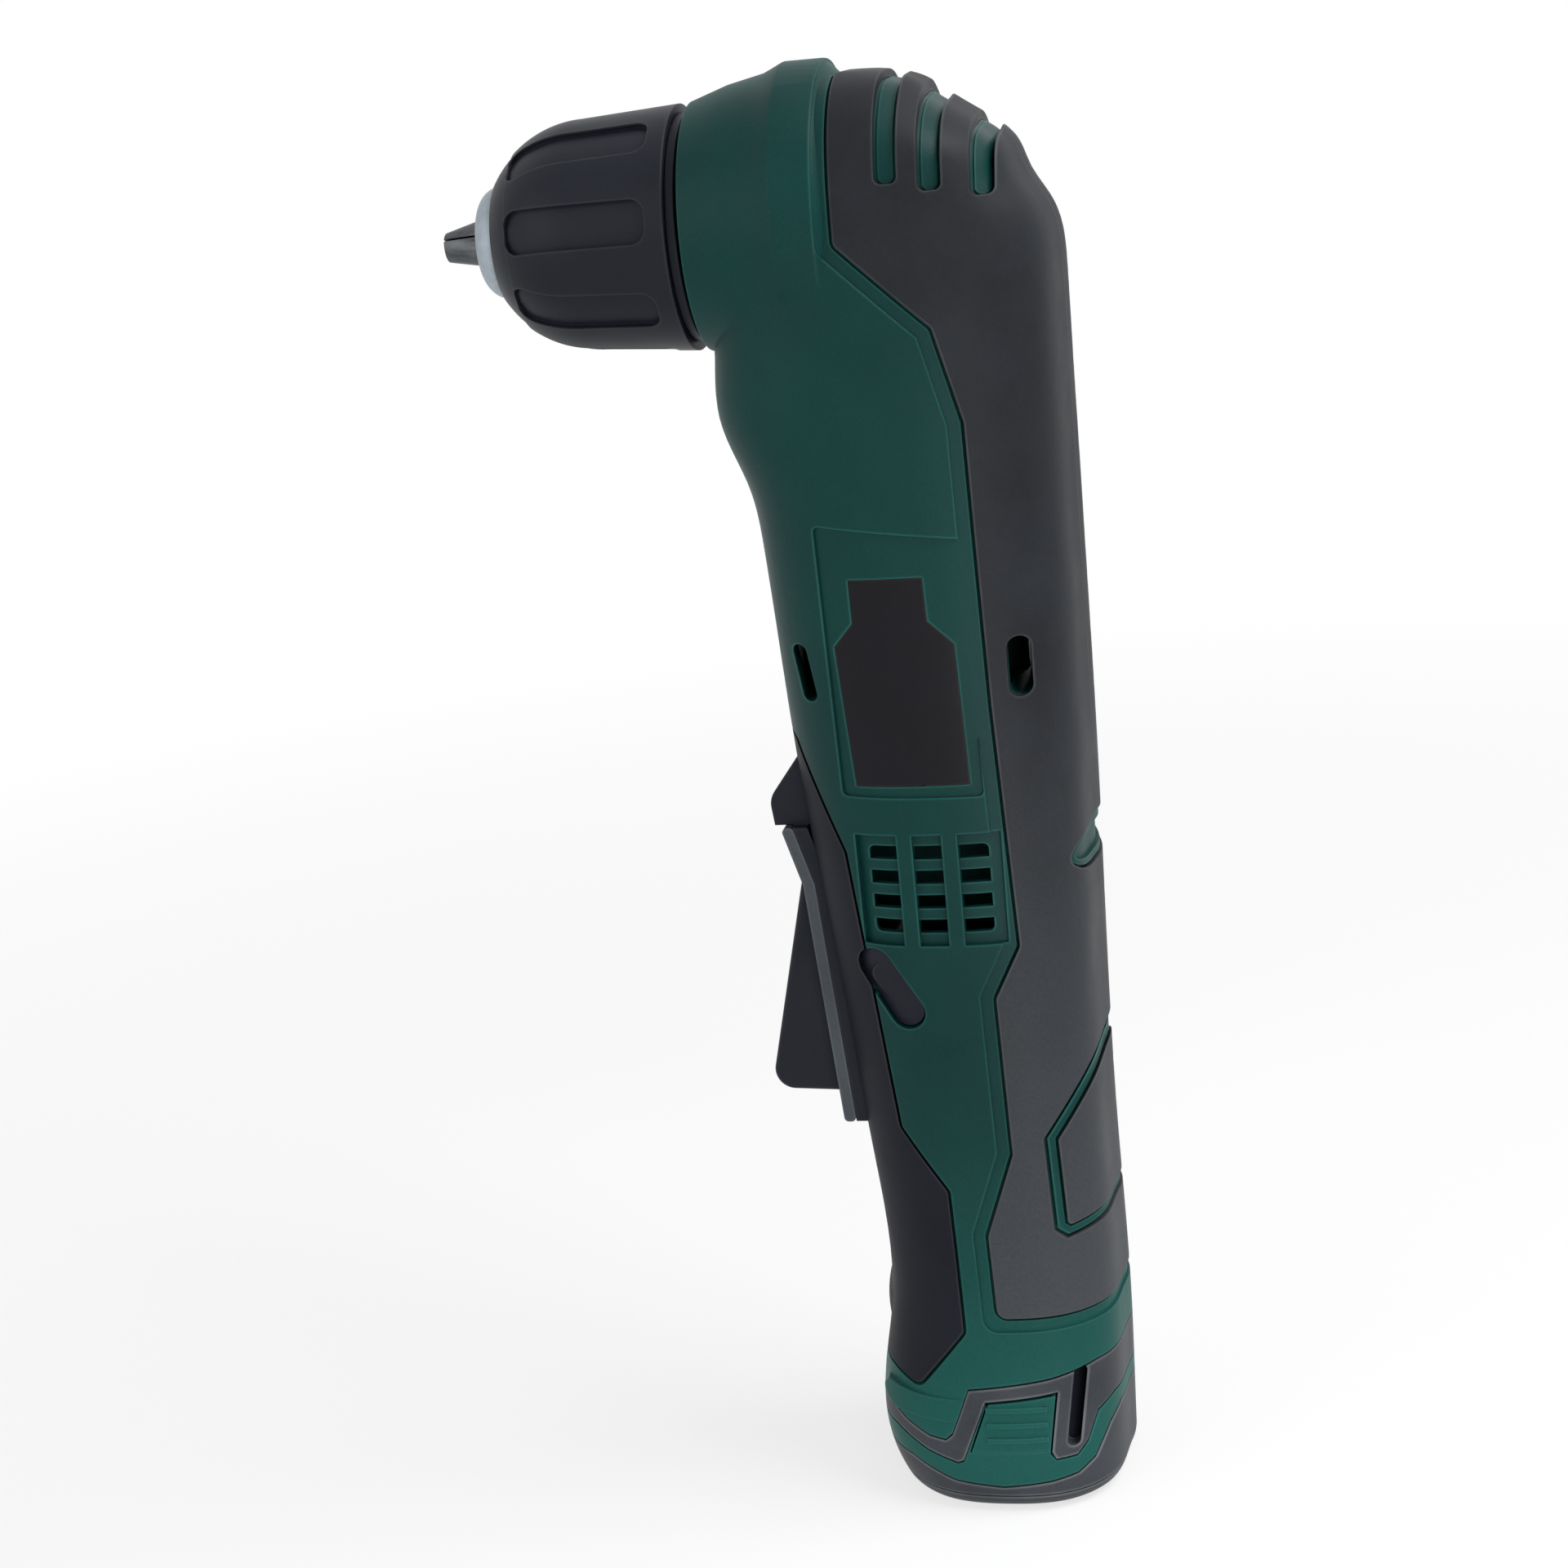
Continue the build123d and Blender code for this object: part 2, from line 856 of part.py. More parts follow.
def motor_endbell():
    bell = cylinder_z(motor_radius, endbell_low, motor_low, motor_axis)
    bell -= cylinder_z(motor_radius - 2 * motor_wall, endbell_low + wall, motor_low, motor_axis)
    for side in (-1, 1):
        near = motor_axis + side * (commutator_radius + brush_holder_wall)
        out = motor_axis + side * (motor_radius - 2 * motor_wall)
        left = min(near, out)
        right = max(near, out)
        bell += block(left, right, -brush_width, brush_width, endbell_low, brush_top + brush_holder_wall)
    bell += cylinder_z(commutator_radius, endbell_low, endbell_low + 2 * wall, motor_axis)
    bell -= cylinder_z(shaft_radius + running_gap, endbell_low, motor_low, motor_axis)
    slot = brush_width / 2
    bell -= block(-far, far, -slot, slot, brush_low, brush_top)
    return bell


def motor_brushes():
    pieces = []
    slot = brush_width / 2
    for side in (-1, 1):
        out = motor_axis + side * (motor_radius - 2 * motor_wall)
        brush = block(min(motor_axis, out), max(motor_axis, out), -slot, slot, brush_low, brush_top)
        pieces.append(brush - cylinder_z(commutator_radius + running_gap, brush_low, brush_top, motor_axis))
        tab = motor_axis + side * (motor_radius - 4 * motor_wall)
        left = tab - brush_tab / 2
        pieces.append(block(left, left + brush_tab, -slot, slot, endbell_low - 2 * wall, endbell_low))
    return Compound(pieces)


def rotor_core():
    low = motor_low + rotor_start
    high = motor_top - fan_gap - fan_height - rotor_end_gap
    core = cylinder_z(rotor_radius, low, high)
    for slot in range(rotor_slots):
        turn = 360 * slot / rotor_slots
        pocket = cylinder_z(rotor_slot_radius, low, high, rotor_slot_circle)
        pocket += block(rotor_slot_circle, far, -rotor_mouth, rotor_mouth, low, high)
        core -= Rot(0, 0, turn) * pocket
    core -= cylinder_z(shaft_radius, low, high)
    return Pos(motor_axis, 0, 0) * core


def motor_fan():
    low = motor_top - fan_gap - fan_height
    radius = motor_radius - motor_wall - fan_room
    fan = cylinder_z(radius, low, low + fan_disc) + cylinder_z(fan_hub, low, low + fan_height)
    for blade in range(fan_blades):
        turn = 360 * blade / fan_blades
        thick = fan_blade_half
        fan += Rot(0, 0, turn) * block(0, fan_blade_reach, -thick, thick, low, low + fan_height)
    fan -= cylinder_z(shaft_radius, low, low + fan_height)
    return Pos(motor_axis, 0, 0) * fan


def commutator():
    low = endbell_low + 2 * wall + axial_gap
    high = motor_low + rotor_start - axial_gap
    return bearing_z(commutator_radius, shaft_radius, low, high)


# Planet stage
def ring_gear():
    top = planet_top
    ring = cylinder_z(ring_outer_radius, ring_low, top)
    cutter = gear_outline(ring_teeth, gear_module, -backlash, gear_root_share, gear_tip_share)
    ring -= Pos(0, 0, ring_low + ring_floor) * extrude(cutter, amount=top - ring_low - ring_floor)
    ring -= cylinder_z(motor_boss_radius, ring_low, ring_low + ring_floor)
    return Pos(motor_axis, 0, 0) * ring


def sun_gear():
    outline_face = gear_outline(sun_teeth, gear_module, backlash, gear_tip_share, gear_root_share)
    gear = Pos(0, 0, planet_low) * extrude(outline_face, amount=planet_width)
    return Pos(motor_axis, 0, 0) * (gear - cylinder_z(shaft_radius, planet_low, planet_top))


def planet_gear(number):
    outline_face = gear_outline(planet_teeth, gear_module, backlash, gear_tip_share, gear_root_share)
    gear = Pos(planet_offset, 0, planet_low) * extrude(outline_face, amount=planet_width)
    gear -= cylinder_z(planet_pin_radius + running_gap, planet_low, planet_top, planet_offset)
    return Pos(motor_axis, 0, 0) * Rot(0, 0, 360 * number / planet_count) * gear


def planet_carrier():
    carrier = cylinder_z(carrier_radius, carrier_low, carrier_top)
    carrier += cylinder_z(carrier_shaft_radius, carrier_top, bearing_top)
    carrier += cylinder_z(pinion_bore, bearing_top, pinion_front)
    for number in range(planet_count):
        pin = cylinder_z(planet_pin_radius, planet_low, carrier_low, planet_offset)
        carrier += Rot(0, 0, 360 * number / planet_count) * pin
    return Pos(motor_axis, 0, 0) * carrier


# Bevel pair, apex where the two axes cross
def bevel_pinion():
    apex = Plane(origin=(motor_axis, 0, spindle_height), x_dir=(-1, 0, 0), z_dir=(0, 0, -1))
    pinion = apex * bevel_solid(pinion_teeth, bevel_teeth, backlash)
    pinion += cylinder_z(pinion_hub_radius, bearing_top, pinion_back, motor_axis)
    return pinion - cylinder_z(pinion_bore, bearing_top, spindle_height, motor_axis)


def bevel_gear():
    apex = Plane(origin=(motor_axis, 0, spindle_height), x_dir=(0, 0, -1), z_dir=(-1, 0, 0))
    gear = apex * (Rot(0, 0, 180 / bevel_teeth) * bevel_solid(bevel_teeth, pinion_teeth, backlash))
    gear += cylinder_x(bevel_hub_radius, front_bearing_back + axial_gap, motor_axis - pinion_radius)
    return gear - cylinder_x(spindle_radius, -far, motor_axis)


def spindle():
    rear = chamber_back + rear_bearing_width
    shaft = cylinder_x(spindle_radius, -chuck_back, rear)
    shaft += cylinder_x(spindle_shoulder, -chuck_back, front_bearing_front - axial_gap)
    shaft += cylinder_x(thread_radius, -thread_end, -chuck_back)
    return shaft - cylinder_x(chuck_screw_radius, -thread_end, -chuck_back)


# Chuck
def jaw_axis_radius(reach):
    outer = jaw_tip_radius + (jaw_tip_reach - reach) * math.tan(jaw_angle)
    return outer - jaw_radius / math.cos(jaw_angle)


def jaw_cylinder(radius, front, back):
    direction = (math.cos(jaw_angle), 0, math.sin(jaw_angle))
    start = (-front, 0, spindle_height + jaw_axis_radius(front))
    length = (front - back) / math.cos(jaw_angle)
    return Plane(origin=start, z_dir=direction) * Pos(0, 0, length / 2) * Cylinder(radius, length)


def round_chuck(solid, number):
    to_axis = Pos(0, 0, spindle_height)
    from_axis = Pos(0, 0, -spindle_height)
    return to_axis * Rot(360 * number / jaw_count, 0, 0) * from_axis * solid


def jaw(number):
    rear = jaw_tip_reach - jaw_length
    piece = jaw_cylinder(jaw_radius, jaw_tip_reach + jaw_length, rear)
    piece &= block(-jaw_tip_reach, far, -far, far, -far, far)
    tip = jaw_half_gap / math.sin(math.pi / jaw_count)
    spread = 4 * chuck_body_radius
    sector = [
        (0, tip),
        (spread * math.sin(math.pi / jaw_count), tip + spread * math.cos(math.pi / jaw_count)),
        (0, 2 * spread),
        (-spread * math.sin(math.pi / jaw_count), tip + spread * math.cos(math.pi / jaw_count)),
    ]
    wedge = Pos(0, 0, spindle_height) * (Plane.YZ * make_face(Polyline(*sector, close=True)))
    piece &= extrude(wedge, amount=far, both=True)
    return round_chuck(piece, number)


def chuck_body():
    groove_front = nut_front + seat_gap
    groove_back = nut_back - seat_gap
    shaft = turned([
        (-chuck_back, 0),
        (-chuck_back, chuck_body_radius),
        (-groove_back, chuck_body_radius),
        (-groove_back, nut_groove_radius),
        (-groove_front, nut_groove_radius),
        (-groove_front, chuck_front_radius),
        (-groove_front - chuck_shoulder, chuck_front_radius),
        (-nose_back, nose_radius),
        (-nose_back, nose_stub_radius),
        (-nose_front, nose_stub_radius),
        (-nose_front, 0),
    ])
    shaft -= cylinder_x(thread_radius, -thread_end, -chuck_back)
    shaft -= cylinder_x(chuck_screw_radius, -thread_end - chuck_web, -thread_end)
    shaft -= cylinder_x(chuck_bore, -nose_front, -thread_end - chuck_web)
    jaw_back = jaw_tip_reach - jaw_length - jaw_travel - axial_gap
    for number in range(jaw_count):
        shaft -= round_chuck(jaw_cylinder(jaw_radius + running_gap, jaw_tip_reach, jaw_back), number)
    return shaft


def chuck_screw():
    seat = -thread_end - chuck_web
    shank = cylinder_x(chuck_screw_radius, seat, -chuck_back)
    return shank + cylinder_x(chuck_screw_head, seat - chuck_screw_head_length, seat)


def chuck_nut():
    slack = sliding_gap
    front_bore = jaw_axis_radius(nut_front) + jaw_radius / math.cos(jaw_angle) + slack
    back_bore = jaw_axis_radius(nut_back) + jaw_radius / math.cos(jaw_angle) + slack
    nut = turned([
        (-nut_front, front_bore),
        (-nut_front, nut_radius),
        (-nut_back, nut_radius),
        (-nut_back, back_bore),
    ])
    return nut - block(-far, far, -seat_gap, seat_gap, -far, far)


# Solid form of the sleeve, taken in by an inset, from which flutes and front band are cut
def sleeve_form(inset):
    rear = (-sleeve_back, sleeve_rear_radius - inset)
    curve_start = (-sleeve_waist, sleeve_waist_radius - inset)
    curve_middle = (-(sleeve_waist + 2 * sleeve_front) / 3, sleeve_curve_radius - inset)
    curve_end = (-sleeve_front, sleeve_front_radius - inset)
    curve = ThreePointArc(curve_start, curve_middle, curve_end)
    lines = Polyline(curve_end, (-sleeve_front, 0), (-sleeve_back, 0), rear, curve_start)
    face = Pos(0, 0, spindle_height) * (Plane.XZ * make_face(lines + curve))
    return revolve(face, Axis((0, 0, spindle_height), (1, 0, 0)))


def chuck_sleeve():
    lip = nose_radius + sliding_gap
    step = nut_front + chuck_shoulder
    sleeve = sleeve_form(0) - turned([
        (-sleeve_front, 0),
        (-sleeve_front, lip),
        (-nose_back - sliding_gap, lip),
        (-step, chuck_front_radius + sliding_gap),
        (-nut_front, chuck_front_radius + sliding_gap),
        (-nut_front, nut_radius),
        (-nut_back, nut_radius),
        (-nut_back, sleeve_bore),
        (-sleeve_back, sleeve_bore),
        (-sleeve_back, 0),
    ])
    band_back = sleeve_front - band_width
    sleeve -= cylinder_x(sleeve_rear_radius, -sleeve_front, -band_back) - sleeve_form(band_step)
    flute_back = sleeve_back + flute_start
    plan = RectangleRounded(band_back - flute_back, flute_width, flute_width / 3)
    place = Pos(-(band_back + flute_back) / 2, 0, spindle_height)
    flute = place * extrude(plan, amount=2 * sleeve_rear_radius) - sleeve_form(flute_depth)
    for number in range(flute_count):
        turn = Rot(flute_turn + 360 * number / flute_count, 0, 0)
        sleeve -= Pos(0, 0, spindle_height) * turn * Pos(0, 0, -spindle_height) * flute
    return sleeve


def chuck_nose_ring():
    front = (-nose_front, nose_front_radius)
    shoulder = (-sleeve_front - seat_gap, nose_radius)
    curve = ThreePointArc(shoulder, (-nose_round, nose_round_radius), front)
    bore = [(-nose_front, nose_stub_radius), (-nose_back, nose_stub_radius)]
    lines = Polyline(front, *bore, (-nose_back, nose_radius), shoulder)
    face = Pos(0, 0, spindle_height) * (Plane.XZ * make_face(lines + curve))
    return revolve(face, Axis((0, 0, spindle_height), (1, 0, 0)))


def chuck_rear_ring():
    return bearing_x(chuck_ring_radius, chuck_body_radius, -sleeve_back + seat_gap, -chuck_back)


# Trigger and switch
def bezel_prism(near, deep):
    bends = [(-bezel_top_front, bezel_top), (-bezel_bend_front, bezel_bend), (-bezel_low_front, bezel_low)]
    points = [(x + near, z) for x, z in bends]
    points += [(x + deep, z) for x, z in reversed(bends)]
    return across(outline(points), bezel_half_width)


def trigger_bezel():
    strip = bezel_prism(0, bezel_depth)
    ends = strip.edges().filter_by(Axis.Y).group_by(Axis.Z)
    strip = fillet(ends[0] + ends[-1], bezel_rounding)
    return strip - trigger_window()


def trigger_window():
    side = paddle_half_width + sliding_gap
    low = paddle_low - paddle_swing_room
    return block(-far, trigger_pin_x + trigger_post, -side, side, low, paddle_top + paddle_room)


def trigger_posts():
    side = paddle_half_width + sliding_gap
    posts = []
    for sign in (-1, 1):
        near = sign * side
        out = sign * (side + trigger_post)
        low = trigger_pin_z - trigger_post
        high = trigger_pin_z + trigger_post
        posts.append(
            block(-far, trigger_pin_x + trigger_post, min(near, out), max(near, out), low, high)
        )
    return posts[0] + posts[1]


def paddle_trigger():
    points = [
        (-paddle_top_front, paddle_top),
        (-paddle_low_front, paddle_low),
        (-paddle_back, paddle_low - paddle_heel),
        (-paddle_back, paddle_top),
    ]
    paddle = across(outline(points), paddle_half_width)
    paddle = fillet(paddle.edges().filter_by(Axis.Y).sort_by(Axis.X)[0], paddle_corner)

    def on_front_rim(edge):
        middle = edge.center()
        beside = abs(abs(middle.Y) - paddle_half_width) < seat_gap
        return beside and middle.X < -paddle_back - paddle_rim

    rims = paddle.edges().filter_by(GeomType.LINE).filter_by(on_front_rim)
    paddle = fillet(rims, paddle_rim)
    return paddle - trigger_pin(trigger_pin_radius + running_gap)


def trigger_pin(radius):
    reach = paddle_half_width + sliding_gap + trigger_post / 2
    return cylinder_y(radius, -reach, reach, trigger_pin_x, trigger_pin_z)


def switch_body():
    wide = switch_half_width
    case = block(switch_front_x, switch_back_x, -wide, wide, switch_low, switch_high)
    bore = plunger_radius + running_gap
    inner = switch_front_x + plunger_seat + plunger_travel + axial_gap
    return case - cylinder_x(bore, switch_front_x, inner, 0, plunger_height)


def switch_plunger():
    tip = -paddle_back + sliding_gap
    rod = cylinder_x(plunger_radius, tip, switch_front_x + plunger_seat, 0, plunger_height)
    return fillet(rod.edges().sort_by(Axis.X)[0], plunger_rounding)


def trigger_spring():
    start = -paddle_back + sliding_gap + spring_wire_radius
    end = switch_front_x - spring_wire_radius - seat_gap
    rise = (end - start) / (2 * math.pi * spring_turns)
    sections = []
    for step in range(spring_turns * spring_steps + 1):
        turn = 2 * math.pi * step / spring_steps
        outward = (0, math.cos(turn), math.sin(turn))
        onward = (rise, -spring_coil_radius * math.sin(turn), spring_coil_radius * math.cos(turn))
        sideways = spring_coil_radius * math.cos(turn)
        place = (start + rise * turn, sideways, plunger_height + spring_coil_radius * math.sin(turn))
        wire = Plane(origin=place, x_dir=outward, z_dir=onward) * RegularPolygon(spring_wire_radius, 6)
        sections.append(wire.wire())
    return Solid.make_loft(sections, ruled=True)


def direction_slider():
    shape = Pos(slider_x, slider_z) * Rot(0, 0, slider_turn) * pill(slider_length, slider_width)
    bar = across(shape, slider_half_span)
    half_lug = slider_lug / 2
    middle = slider_x + half_lug / 4
    lug = block(middle - half_lug, middle + half_lug, -half_lug, half_lug, switch_high + seat_gap, slider_z)
    return bar + lug + ((under_recess & slider_pill(0)) - inner)


# Work lamp above the trigger
def lamp_prism():
    points = [
        (-lamp_crest, lamp_top),
        (-lamp_nose, lamp_brow),
        (-lamp_chin, bezel_top),
        (-lamp_back, bezel_top),
        (-lamp_back, lamp_top),
    ]
    prism = across(outline(points), lamp_half_width)
    nose = prism.edges().filter_by(Axis.Y).sort_by(Axis.X)[0:2].sort_by(Axis.Z)
    return fillet(nose[1], lamp_rounding)


# Lamp housing with the arms that carry the bezel
def lamp_block():
    arms = bezel_prism(bezel_depth, bezel_seat) - trigger_window()
    return (lamp_prism() - under_grip) + arms - lamp() - lamp_lens()


def lamp_plane():
    run = lamp_nose - lamp_crest
    rise = lamp_top - lamp_brow
    middle = (-(lamp_nose + lamp_crest) / 2, 0, (lamp_top + lamp_brow) / 2)
    return Plane(origin=middle, z_dir=(-rise, 0, run))


def lamp():
    return lamp_plane() * Pos(0, 0, -lens_thickness - lamp_length / 2) * Cylinder(lamp_radius, lamp_length)


def lamp_lens():
    return lamp_plane() * Pos(0, 0, -lens_thickness / 2) * Cylinder(lens_radius, lens_thickness)


# Electrical seat of the battery
def terminal_block():
    low = stalk_top + 2 * contact_board
    long = terminal_half_length
    wide = terminal_half_width
    return block(-long, long, -wide, wide, low, low + terminal_height)


def battery_contacts():
    board = stalk_prism(stalk_corner - board_inset, stalk_top, stalk_top + contact_board)
    blade_top = stalk_top + 2 * contact_board - sliding_gap
    for step in (-1, 0, 1):
        near = step * blade_pitch - blade_thickness / 2
        end = blade_length / 2
        board += block(-end, end, near, near + blade_thickness, stalk_top, blade_top)
    return board


# Housing
def rib(height, hole):
    return Pos(0, 0, height) * Box(far, far, rib_thickness) - hole


def head_rib(place, hole):
    low = spindle_height - ring_radius
    high = spindle_height + ring_radius
    return block(place, place + rib_thickness, -far, far, low, high) - hole


def housing_ribs():
    motor_hole = cylinder_z(motor_radius + seat_gap, -far, far, motor_axis)
    case_hole = cylinder_z(case_radius + seat_gap, -far, far, motor_axis)
    head_hole = cylinder_x(case_radius + seat_gap, -far, far)
    head_hole += cylinder_z(case_radius + seat_gap, 0, spindle_height, motor_axis)
    for y, z in lug_places():
        head_hole += cylinder_x(cover_lug_radius + seat_gap, -far, far, y, z)
    stalk_hole = stalk_prism(stalk_corner + sliding_gap, -far, far)
    side = switch_half_width + seat_gap
    switch_hole = block(-far, switch_back_x + seat_gap, -side, side, 0, far)
    switch_hole += block(-far, switch_front_x, -far, far, 0, far)
    long = terminal_half_length + seat_gap
    wide = terminal_half_width + seat_gap
    terminal_hole = block(-long, long, -wide, wide, 0, far)
    ribs = rib(motor_low + rib_inset, motor_hole)
    ribs += rib(motor_top - rib_inset, motor_hole)
    ribs += rib(ring_low + rib_inset, case_hole)
    ribs += rib(waist_height / 2, stalk_hole)
    ribs += rib(waist_height - stalk_rib_drop, stalk_hole)
    ribs += rib((switch_low + switch_high) / 2, switch_hole)
    ribs += rib(stalk_top + 2 * contact_board + terminal_height / 2, terminal_hole)
    ribs += head_rib(-case_front + rib_thickness / 2, head_hole)
    return ribs


def screw_bosses():
    bosses = []
    for x, z in screw_places:
        bosses.append(cylinder_y(boss_radius, -full_width, full_width, x, z))
    return bosses


def screw_bores():
    bores = Part()
    for x, z in screw_places:
        bores += cylinder_y(screw_radius, -screw_seat, screw_seat, x, z)
        bores += cylinder_y(screw_head + sliding_gap, screw_seat, full_width, x, z)
    return bores


def housing_screws():
    screws = []
    for x, z in screw_places:
        shank = cylinder_y(screw_radius, -screw_seat, screw_seat, x, z)
        screws.append(shank + cylinder_y(screw_head, screw_seat, screw_seat + screw_head_height, x, z))
    return Compound(screws)


def head_slots(extra):
    slots = []
    for number, place in enumerate(head_slot_places):
        low = spindle_height + head_slot_low - number * head_slot_step
        width = head_slot_width + 2 * extra
        shape = Pos(place, low + far / 2) * RectangleRounded(width, far, head_slot_corner)
        slots.append(across(shape))
    return slots


def spine_oval(extra):
    shape = Pos(0, oval_height) * Ellipse(oval_half_width + extra, oval_half_height + extra)
    return extrude(Plane.YZ * shape, amount=far)


def panel_outline(inset):
    reach = 2 * spine_reach
    top = panel_top + (reach - panel_front) * panel_slope
    points = [
        (reach, top),
        (panel_front - 0.6, panel_top),
        (panel_front + 0.2, panel_low + 1.6),
        (panel_front + 2.4, panel_low - 0.6),
        (reach, panel_low + 4.0),
    ]
    return offset(outline(points), -inset) if inset else outline(points)


def grille_cutters():
    inner = grille_back - grille_front - 2 * grille_margin
    width = (inner - (grille_columns - 1) * grille_bar_width) / grille_columns
    pitch_z = (grille_high - grille_low - grille_margin) / grille_rows
    openings = []
    recesses = []
    for column in range(grille_columns):
        left = grille_front + grille_margin + column * (width + grille_bar_width)
        lead = grille_margin if column == 0 else 0.0
        tail = grille_margin if column == grille_columns - 1 else 0.0
        recesses.append((left - lead, left + width + tail))
        for row in range(grille_rows):
            low = grille_low + grille_margin / 2 + (row + 0.5) * pitch_z - grille_opening_height / 2
            opening = block(left, left + width, -far, far, low, low + grille_opening_height)
            openings.append(opening & grille_field(pitch_z))
    return openings, recesses


# Rounded field that bounds the openings, and the dividing wall seen behind them
def grille_field(pitch_z):
    long = grille_back - grille_front - 2 * grille_margin
    high = (grille_rows - 1) * pitch_z + grille_opening_height
    middle = Pos((grille_front + grille_back) / 2, grille_low + grille_margin / 2 + grille_rows * pitch_z / 2)
    return across(middle * RectangleRounded(long, high, grille_corner))


def grille_web():
    wide = grille_web_half
    return block(-far, grille_web_back, -wide, wide, grille_low - wide, grille_high + wide)


def rear_vent():
    return side_pill(rear_slot_x, slot_height, slot_length, slot_width, 90)


def front_vent():
    return side_pill(front_slot_x, slot_height, front_slot_length, front_slot_width, front_slot_turn)


def slider_pill(gap):
    length = slider_cap_length + 2 * gap
    width = slider_cap_width + 2 * gap
    return side_pill(slider_x, slider_z, length, width, slider_turn)


def latch_outline(margin):
    points = [
        (latch_left_x - latch_left_lean + margin, latch_low),
        (latch_left_x + margin, latch_top - margin),
        (latch_right_x - margin, latch_top + latch_crest - margin),
        (latch_right_x - latch_right_lean - margin, latch_low),
    ]
    return outline(points)


# Green areas that stay uncovered inside the rear grip
def grip_windows(extra):
    return head_slots(extra) + [spine_oval(extra)]


def rear_grip():
    region = across(rear_grip_outline())
    for window in grip_windows(0):
        region -= window
    region -= across(panel_outline(0))
    region += across(panel_outline(panel_channel))
    return (whole & region) - under_grip - rear_vent() - screw_bores()


def rear_grip_recess():
    region = across(offset(rear_grip_outline(), groove))
    for window in grip_windows(-groove):
        region -= window
    region -= across(panel_outline(groove))
    region += across(panel_outline(panel_channel - groove))
    return (whole & region) - under_grip


def front_grip():
    swell = Pos(-swell_x, 0, swell_height) * Sphere(swell_radius)
    grip = ((whole + swell) & across(front_grip_outline())) - under_grip
    grip -= bezel_prism(0, bezel_seat) + trigger_window()
    return grip - lamp_prism() - slider_pill(sliding_gap) - screw_bores()


def front_grip_recess():
    return (whole & across(offset(front_grip_outline(), groove))) - under_grip


def label_plate():
    return (under_rim & across(label_outline())) - under_recess


# Lip that swells forward at the foot of the housing, over the battery
def front_lip():
    low = joint_line(0)[0][1]
    points = [
        (-handle_reach, lip_top),
        (-handle_reach - lip_reach, lip_top - lip_slope),
        (-handle_reach - lip_reach, low + lip_slope),
        (-handle_reach + lip_reach, low),
        (0, low),
        (0, lip_top),
    ]
    return (Pos(-lip_reach, 0, 0) * whole) & across(outline(points))


def housing():
    cavity = inner - housing_ribs()
    for boss in screw_bosses():
        cavity -= boss
    cavity -= trigger_posts()
    cavity -= grille_web()
    shell = whole + front_lip() - cavity
    shell -= below(joint_line(0))
    shell -= stalk_prism(stalk_corner + sliding_gap, -far, stalk_top + sliding_gap)
    shell -= (whole & (across(rim_outline()) + across(label_panel_outline()))) - under_rim
    shell -= rear_grip_recess()
    for window in head_slots(0) + [spine_oval(-oval_border)]:
        shell -= (whole & window) - under_recess
    shell -= front_grip_recess()
    shell -= label_plate()
    shell -= cylinder_x(collar_hole, -far, -collar_front + 2 * wall)
    shell -= bezel_prism(0, bezel_seat)
    shell -= trigger_window()
    shell -= trigger_pin(trigger_pin_radius)
    shell -= lamp()
    shell -= rear_vent()
    shell -= front_vent()
    shell -= slider_pill(sliding_gap)
    openings, recesses = grille_cutters()
    for left, right in recesses:
        shell -= (whole & block(left, right, -far, far, grille_low, grille_high)) - under_recess
    for opening in openings:
        shell -= opening - grille_web()
    return shell - screw_bores()


# Battery
def battery_trim():
    band = (whole - inner) & below(joint_line(joint_gap))
    band -= below(trim_line(0))
    middle = (trim_slit_x, (latch_top + latch_low) / 2 + trim_slit_rise)
    slit_length = latch_top - latch_low + 2 * trim_slit_rise
    slit = Pos(*middle) * Rot(0, 0, trim_slit_turn) * pill(slit_length, trim_slit_width)
    return band - across(slit)


def battery_body():
    ring = (whole & below(trim_line(seam))) - below(base_line(0))
    core = (body(wall + seat_gap) & below(joint_line(joint_gap))) - below(base_line(0))
    shell = ring + core - stalk_prism(stalk_corner, -far, far)
    pocket = across(latch_outline(latch_margin - sliding_gap))
    depth = latch_thickness + latch_travel + 2 * sliding_gap
    shell -= (whole & pocket) - body(depth)
    for side in (-1, 1):
        shell -= latch_stem_block(side, sliding_gap, latch_travel + sliding_gap)
    return shell


def latch_stem_block(side, extra, travel):
    out = side * (handle_half_width - latch_thickness / 2)
    near = side * (handle_half_width - latch_thickness - latch_stem - travel)
    left = latch_stem_left - extra
    right = latch_stem_right + extra
    low = latch_low + latch_stem_rise - extra
    high = latch_top - latch_stem_drop + extra
    return block(left, right, min(near, out), max(near, out), low, high)


def latch(side):
    plate = (whole & across(latch_outline(latch_margin))) - body(latch_thickness)
    plate += latch_stem_block(1, 0, 0) + latch_stem_block(-1, 0, 0)
    for number in range(latch_ridges):
        low = latch_low + latch_ridge_start + number * latch_ridge_pitch
        right = latch_right_x - latch_ridge_start
        bar = block(latch_left_x, right, -far, far, low, low + latch_ridge_width)
        plate += (body(-latch_ridge_height) & bar) - under_grip
    return half(plate, side)


def battery_base():
    cup = whole & below(base_line(seam))
    cup = fillet(cup.edges().group_by(Axis.Z)[0], base_rounding)
    cup -= (whole & block(-far, far, -far, far, foot_line, foot_line + groove / 2)) - under_rim
    return cup - (inner & block(-far, far, -far, far, base_floor, far))


def battery_stalk():
    stalk = stalk_prism(stalk_corner, base_floor, stalk_top)
    for x, y in cell_places():
        stalk -= cylinder_z(cell_radius + cell_gap, stalk_floor, stalk_floor + cell_length, x, y)
    return stalk


